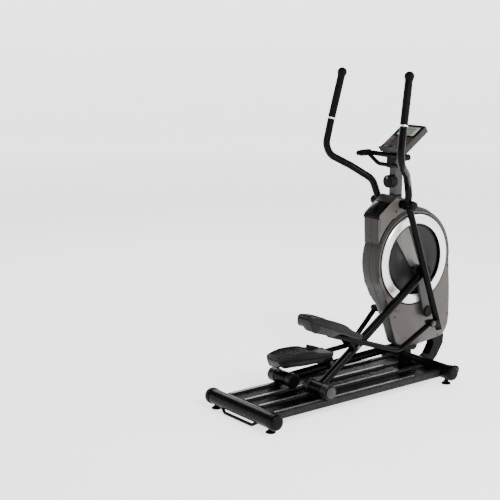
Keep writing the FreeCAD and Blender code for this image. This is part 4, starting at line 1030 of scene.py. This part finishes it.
def foot_plate(side):
    """A moulded shell: arched rim, sunk tray, side groove, lighter lower band, closed heel and toe."""
    matrix = plate_frame(side)
    outward = SIDES[side]
    made = bmesh.new()
    rows = []
    for t in [0.5 - 0.5 * cos(pi * k / 96) for k in range(97)]:
        outer, inner = half_section(t, OUTER_SKIRT), half_section(t, INNER_SKIRT)
        loop = [(outward * y, z) for y, z in outer] + [(-outward * y, z) for y, z in reversed(inner[1:-1])]
        rows.append([made.verts.new(matrix @ Vector((t * PLATE_LENGTH, y, z))) for y, z in loop])
    skin(made, rows)
    shell = piece("foot_plate_shell_" + side, made, PLATE, "pedal_" + side,
                  ("foot_plate_" + side,), sharp=32.0)
    colour_band(shell.data, matrix.inverted(), outward)
    heel_lip(side, matrix)
    foot_mat(side, matrix)
    toe_guard(side, matrix)


def colour_band(mesh, inverse, outward):
    """Gives the skirt below the side groove its lighter material."""
    mesh.materials.append(PLATE_BAND)
    for face in mesh.polygons:
        local = inverse @ face.center
        t = max(0.0, min(1.0, local.x / PLATE_LENGTH))
        deep = along_table(OUTER_SKIRT if local.y * outward > 0 else INNER_SKIRT, t)
        below = rim_height(t) - local.z
        on_side = abs(local.y) > half_width(t) - 0.0034 and t > 0.16
        if on_side and groove_under(t, deep) + 0.003 < below < deep - 0.001:
            face.material_index = 1


def heel_lip(side, matrix):
    """A raised stop across the heel."""
    made = bmesh.new()
    rows = []
    rim = rim_height(0.02)
    for s in [k / 28 * 2 - 1 for k in range(29)]:
        x = 0.004 + 0.004 * abs(s) ** 3
        height = 0.0070 * (1 - abs(s) ** 6)
        profile = [(-0.0045, -0.004), (-0.0048, height * 0.5), (-0.0030, height), (0.0005, height + 0.0005),
                   (0.0040, height * 0.7), (0.0062, -0.004), (0.0060, -0.011), (-0.0040, -0.011)]
        rows.append([made.verts.new(matrix @ Vector((x + dx, s * PLATE_HALF * 0.66, rim + dz)))
                     for dx, dz in profile])
    skin(made, rows)
    piece("heel_lip_" + side, made, PLATE, "pedal_" + side)


def toe_guard(side, matrix):
    """A raised fin on the left edge of each toe, highest at its rear end."""
    made = bmesh.new()
    rows = []
    for k in range(31):
        t = 0.74 + 0.20 * k / 30
        height = 0.016 * smooth(t, 0.74, 0.755) * (1 - (t - 0.74) / 0.20) + 0.001
        y = half_width(t) - 0.004
        rim = rim_height(t) - 0.001
        profile = [(-0.0030, 0.0), (-0.0026, height), (0.0, height + 0.0015), (0.0026, height), (0.0030, 0.0)]
        rows.append([made.verts.new(matrix @ Vector((t * PLATE_LENGTH, y + dy, rim + dz)))
                     for dy, dz in profile])
    skin(made, rows)
    piece("toe_guard_" + side, made, PLATE, "pedal_" + side)


def foot_mat(side, matrix):
    """A rubber tread: soft-edged pads in staggered rows, curved with the tray, on a thin base."""
    made = bmesh.new()
    rows, columns = 17, 5
    turn = matrix.to_3x3()
    length = PLATE_LENGTH * 0.83 / rows
    for i in range(rows):
        t = 0.085 + 0.83 * i / (rows - 1)
        half = half_width(t) - 0.014
        width = 2 * half / columns
        for j in range(columns):
            y = -half + 2 * half * (j + 0.5) / columns
            x = t * PLATE_LENGTH + (0.35 * length if j % 2 else 0.0) - length * 0.17
            tt = x / PLATE_LENGTH
            slope = (rim_height(tt + 0.01) - rim_height(tt - 0.01)) / (0.02 * PLATE_LENGTH)
            at = matrix @ Vector((x, y, rim_height(tt) - 0.0112))
            pad = on_axis(at, turn @ Vector((-slope, 0, 1)).normalized(), turn @ Vector((1, 0, 0)))
            slab(made, pad, rounded_rectangle(length * 0.80, width * 0.84, 0.003, 3), -0.0015, 0.0034,
                 0.0012, 2)
    base = []
    for t in [0.03 + 0.94 * i / 40 for i in range(41)]:
        half = half_width(t) - 0.0125
        rim = rim_height(t) - 0.0118
        base.append([made.verts.new(matrix @ Vector((t * PLATE_LENGTH, y, rim + z)))
                     for y, z in ((-half, -0.001), (-half, 0.0012), (half, 0.0012), (half, -0.001))])
    skin(made, base)
    piece("tread_mat_" + side, made, RUBBER, "pedal_" + side, ("foot_mat_" + side,))


# ---------------------------------------------------------------- pedal, base and rail details
def pedal_bolts(side):
    """Heads of the pivot bolt on both ears of one pedal frame."""
    made = bmesh.new()
    for y, way in zip(PEDAL_EAR_YS, (-1, 1)):
        hex_bolt(made, shifted(pedal_pivot(side), SIDES[side] * y), (0, SIDES[side] * way, 0), 0.015, 0.005)
    piece("pivot_bolts_" + side, made, STEEL_DARK, "pedal_" + side)


def pedal_pivot(side):
    """The pivot of a foot pedal on its roller arm, along and above the arm."""
    foot = pivot(side + "_arm")
    along = (crank_pin(side) - foot).normalized()
    return foot + along * 0.286 + across_to(along) * 0.023


TRACK_WEAR = 0.013         # width of the bright line that the rollers polish along each track
TRACK_YS = (0.057, 0.175)
REAR_FOOT_Y, FRONT_FOOT_Y, FOOT_TOP = 0.216, 0.205, 0.0125
FRONT_CAP_END_Y = 0.26


def stabilizer_faces(name, end):
    """The stepped faces of one stabilizer's end caps, and the rings where the caps meet the tube."""
    centre = middle(name + "_stabilizer")
    made = bmesh.new()
    for side in ("right", "left"):
        lathe(made, facing(side, centre, end - 0.0006),
              [(-0.002, 0.0262), (0.0006, 0.0262), (0.0010, 0.0254), (0.0010, 0.0150), (0.0004, 0.0142),
               (0.0004, 0.0)])
        hollow_lathe(made, facing(side, centre, end - 0.0335),
                     [(-0.0012, 0.0375), (-0.0012, 0.0412), (0.0010, 0.0412), (0.0010, 0.0375)], 96)
    piece(name + "_cap_faces", made, BLACK_PLASTIC, "base")


def foot_nuts():
    """The nut over each levelling foot and the ring round its pad."""
    made = bmesh.new()
    for node, y in (("rear_stabilizer", REAR_FOOT_Y), ("front_stabilizer", FRONT_FOOT_Y)):
        x = middle(node).x
        for sign in (-1, 1):
            lathe(made, on_axis((x, sign * y, FOOT_TOP), (0, 0, 1)), [(0.0, 0.0135), (0.006, 0.0135)], 6)
            hollow_lathe(made, on_axis((x, sign * y, 0.0), (0, 0, 1)),
                         [(0.0002, 0.0205), (0.0002, 0.0246), (0.0028, 0.0246), (0.0036, 0.0236),
                          (0.0036, 0.0205)])
    piece("foot_nuts", made, BLACK_PLASTIC, "base")


def track_details():
    """Three rivets and a worn bright line on each track."""
    low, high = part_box("roller_tracks")
    centre_x = (low.x + high.x) / 2
    rivets, strips = bmesh.new(), bmesh.new()
    for y in (-TRACK_YS[1], -TRACK_YS[0], *TRACK_YS):
        for x in (low.x + 0.02, centre_x, high.x - 0.02):
            lathe(rivets, on_axis((x, y, high.z), (0, 0, 1)),
                  [(-0.001, 0.0042), (0.0002, 0.0042), (0.0004, 0.0036), (0.0004, 0.0016), (-0.0002, 0.0014),
                   (-0.0002, 0.0)], 24)
        slab(strips, on_axis((centre_x, y, high.z), (0, 0, 1), (1, 0, 0)),
             rounded_rectangle(high.x - low.x - 0.012, TRACK_WEAR, 0.002), -0.001, 0.0002, 0.0002, 1)
    piece("track_rivets", rivets, STEEL_DARK, "base")
    piece("track_wear_strips", strips, STEEL, "base")


# ---------------------------------------------------------------- stage, lights and camera
WORLD_LIGHT = 0.3
FLOOR_GLOW = 1.75          # the floor is lit from below, like a white studio table
LIGHTS = (("key", (-0.6, -3.8, 3.4), (0.1, 0, 0.7), (1.4, 1.4), 230),
          ("side", (3.8, -2.0, 2.4), (0.3, 0, 0.7), (1.0, 2.6), 110),
          ("rear", (-4.2, 1.6, 3.4), (-0.1, 0, 0.6), (0.8, 1.6), 12),
          ("back", (1.0, 4.0, 3.0), (0.1, 0, 0.6), (2.0, 1.4), 70))


def floor():
    """A round studio floor that curves up into a low wall."""
    made = bmesh.new()
    flat, bend, wall = 11.0, 2.6, 3.4
    profile = [(0.0, 0.001), (0.0, 3.0), (0.0, flat)]
    profile += [(bend * (1 - cos(radians(9 * k))), flat + bend * sin(radians(9 * k))) for k in range(1, 11)]
    profile += [(wall, flat + bend)]
    lathe(made, Matrix.Translation((0, 0, -0.0005)), profile, 96, closed_ends=False)
    mesh = bpy.data.meshes.new("floor")
    made.to_mesh(mesh)
    made.free()
    mesh.shade_smooth()
    plane = bpy.data.objects.new("floor", mesh)
    bpy.context.scene.collection.objects.link(plane)
    material, tree, shader = node_material("floor")
    tone = mix_colour(tree, between(tree, noise(tree, 0.8)), neutral(0.92), neutral(0.94))
    feed(tree, shader, {"Base Color": tone, "Roughness": 0.7, "Emission Color": (1, 1, 1, 1),
                        "Emission Strength": FLOOR_GLOW})
    mesh.materials.append(material)


def area_light(name, location, target, size, power):
    light = bpy.data.lights.new(name, "AREA")
    light.shape = "RECTANGLE"
    light.size, light.size_y = size
    light.energy = power
    lamp = bpy.data.objects.new(name, light)
    lamp.location = location
    lamp.rotation_euler = (Vector(target) - Vector(location)).to_track_quat("-Z", "Y").to_euler()
    bpy.context.scene.collection.objects.link(lamp)


def lights():
    world = bpy.data.worlds.new("studio")
    bpy.context.scene.world = world
    world.use_nodes = True
    background = world.node_tree.nodes["Background"]
    background.inputs["Color"].default_value = (1, 1, 1, 1)
    background.inputs["Strength"].default_value = WORLD_LIGHT
    for name, location, target, size, power in LIGHTS:
        area_light(name, location, target, size, power)


def camera():
    lens = bpy.data.cameras.new("camera")
    lens.lens = 84.57
    lens.sensor_width = 36.0
    eye = bpy.data.objects.new("camera", lens)
    eye.location = (-3.9176, -4.2974, 1.9419)
    eye.rotation_euler = (radians(90 - 11.57), 0, radians(-37.53))
    bpy.context.scene.collection.objects.link(eye)
    bpy.context.scene.camera = eye


dress_cad_nodes()
for name in SIDES:
    housing(name)
    disc(name)
    wedge(name)
    block_groove_shade(name)
    arm_details(name)
    roller_details(name)
    swing_details(name)
    handlebar(name)
    grip(name)
    foot_plate(name)
    pedal_bolts(name)
cap()
rear_lip()
console()
knob()
pulse_foam()
hub_rings()
stabilizer_faces("rear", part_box("stabilizer_end_caps")[1].y)
stabilizer_faces("front", FRONT_CAP_END_Y)
foot_nuts()
track_details()
floor()
lights()
camera()
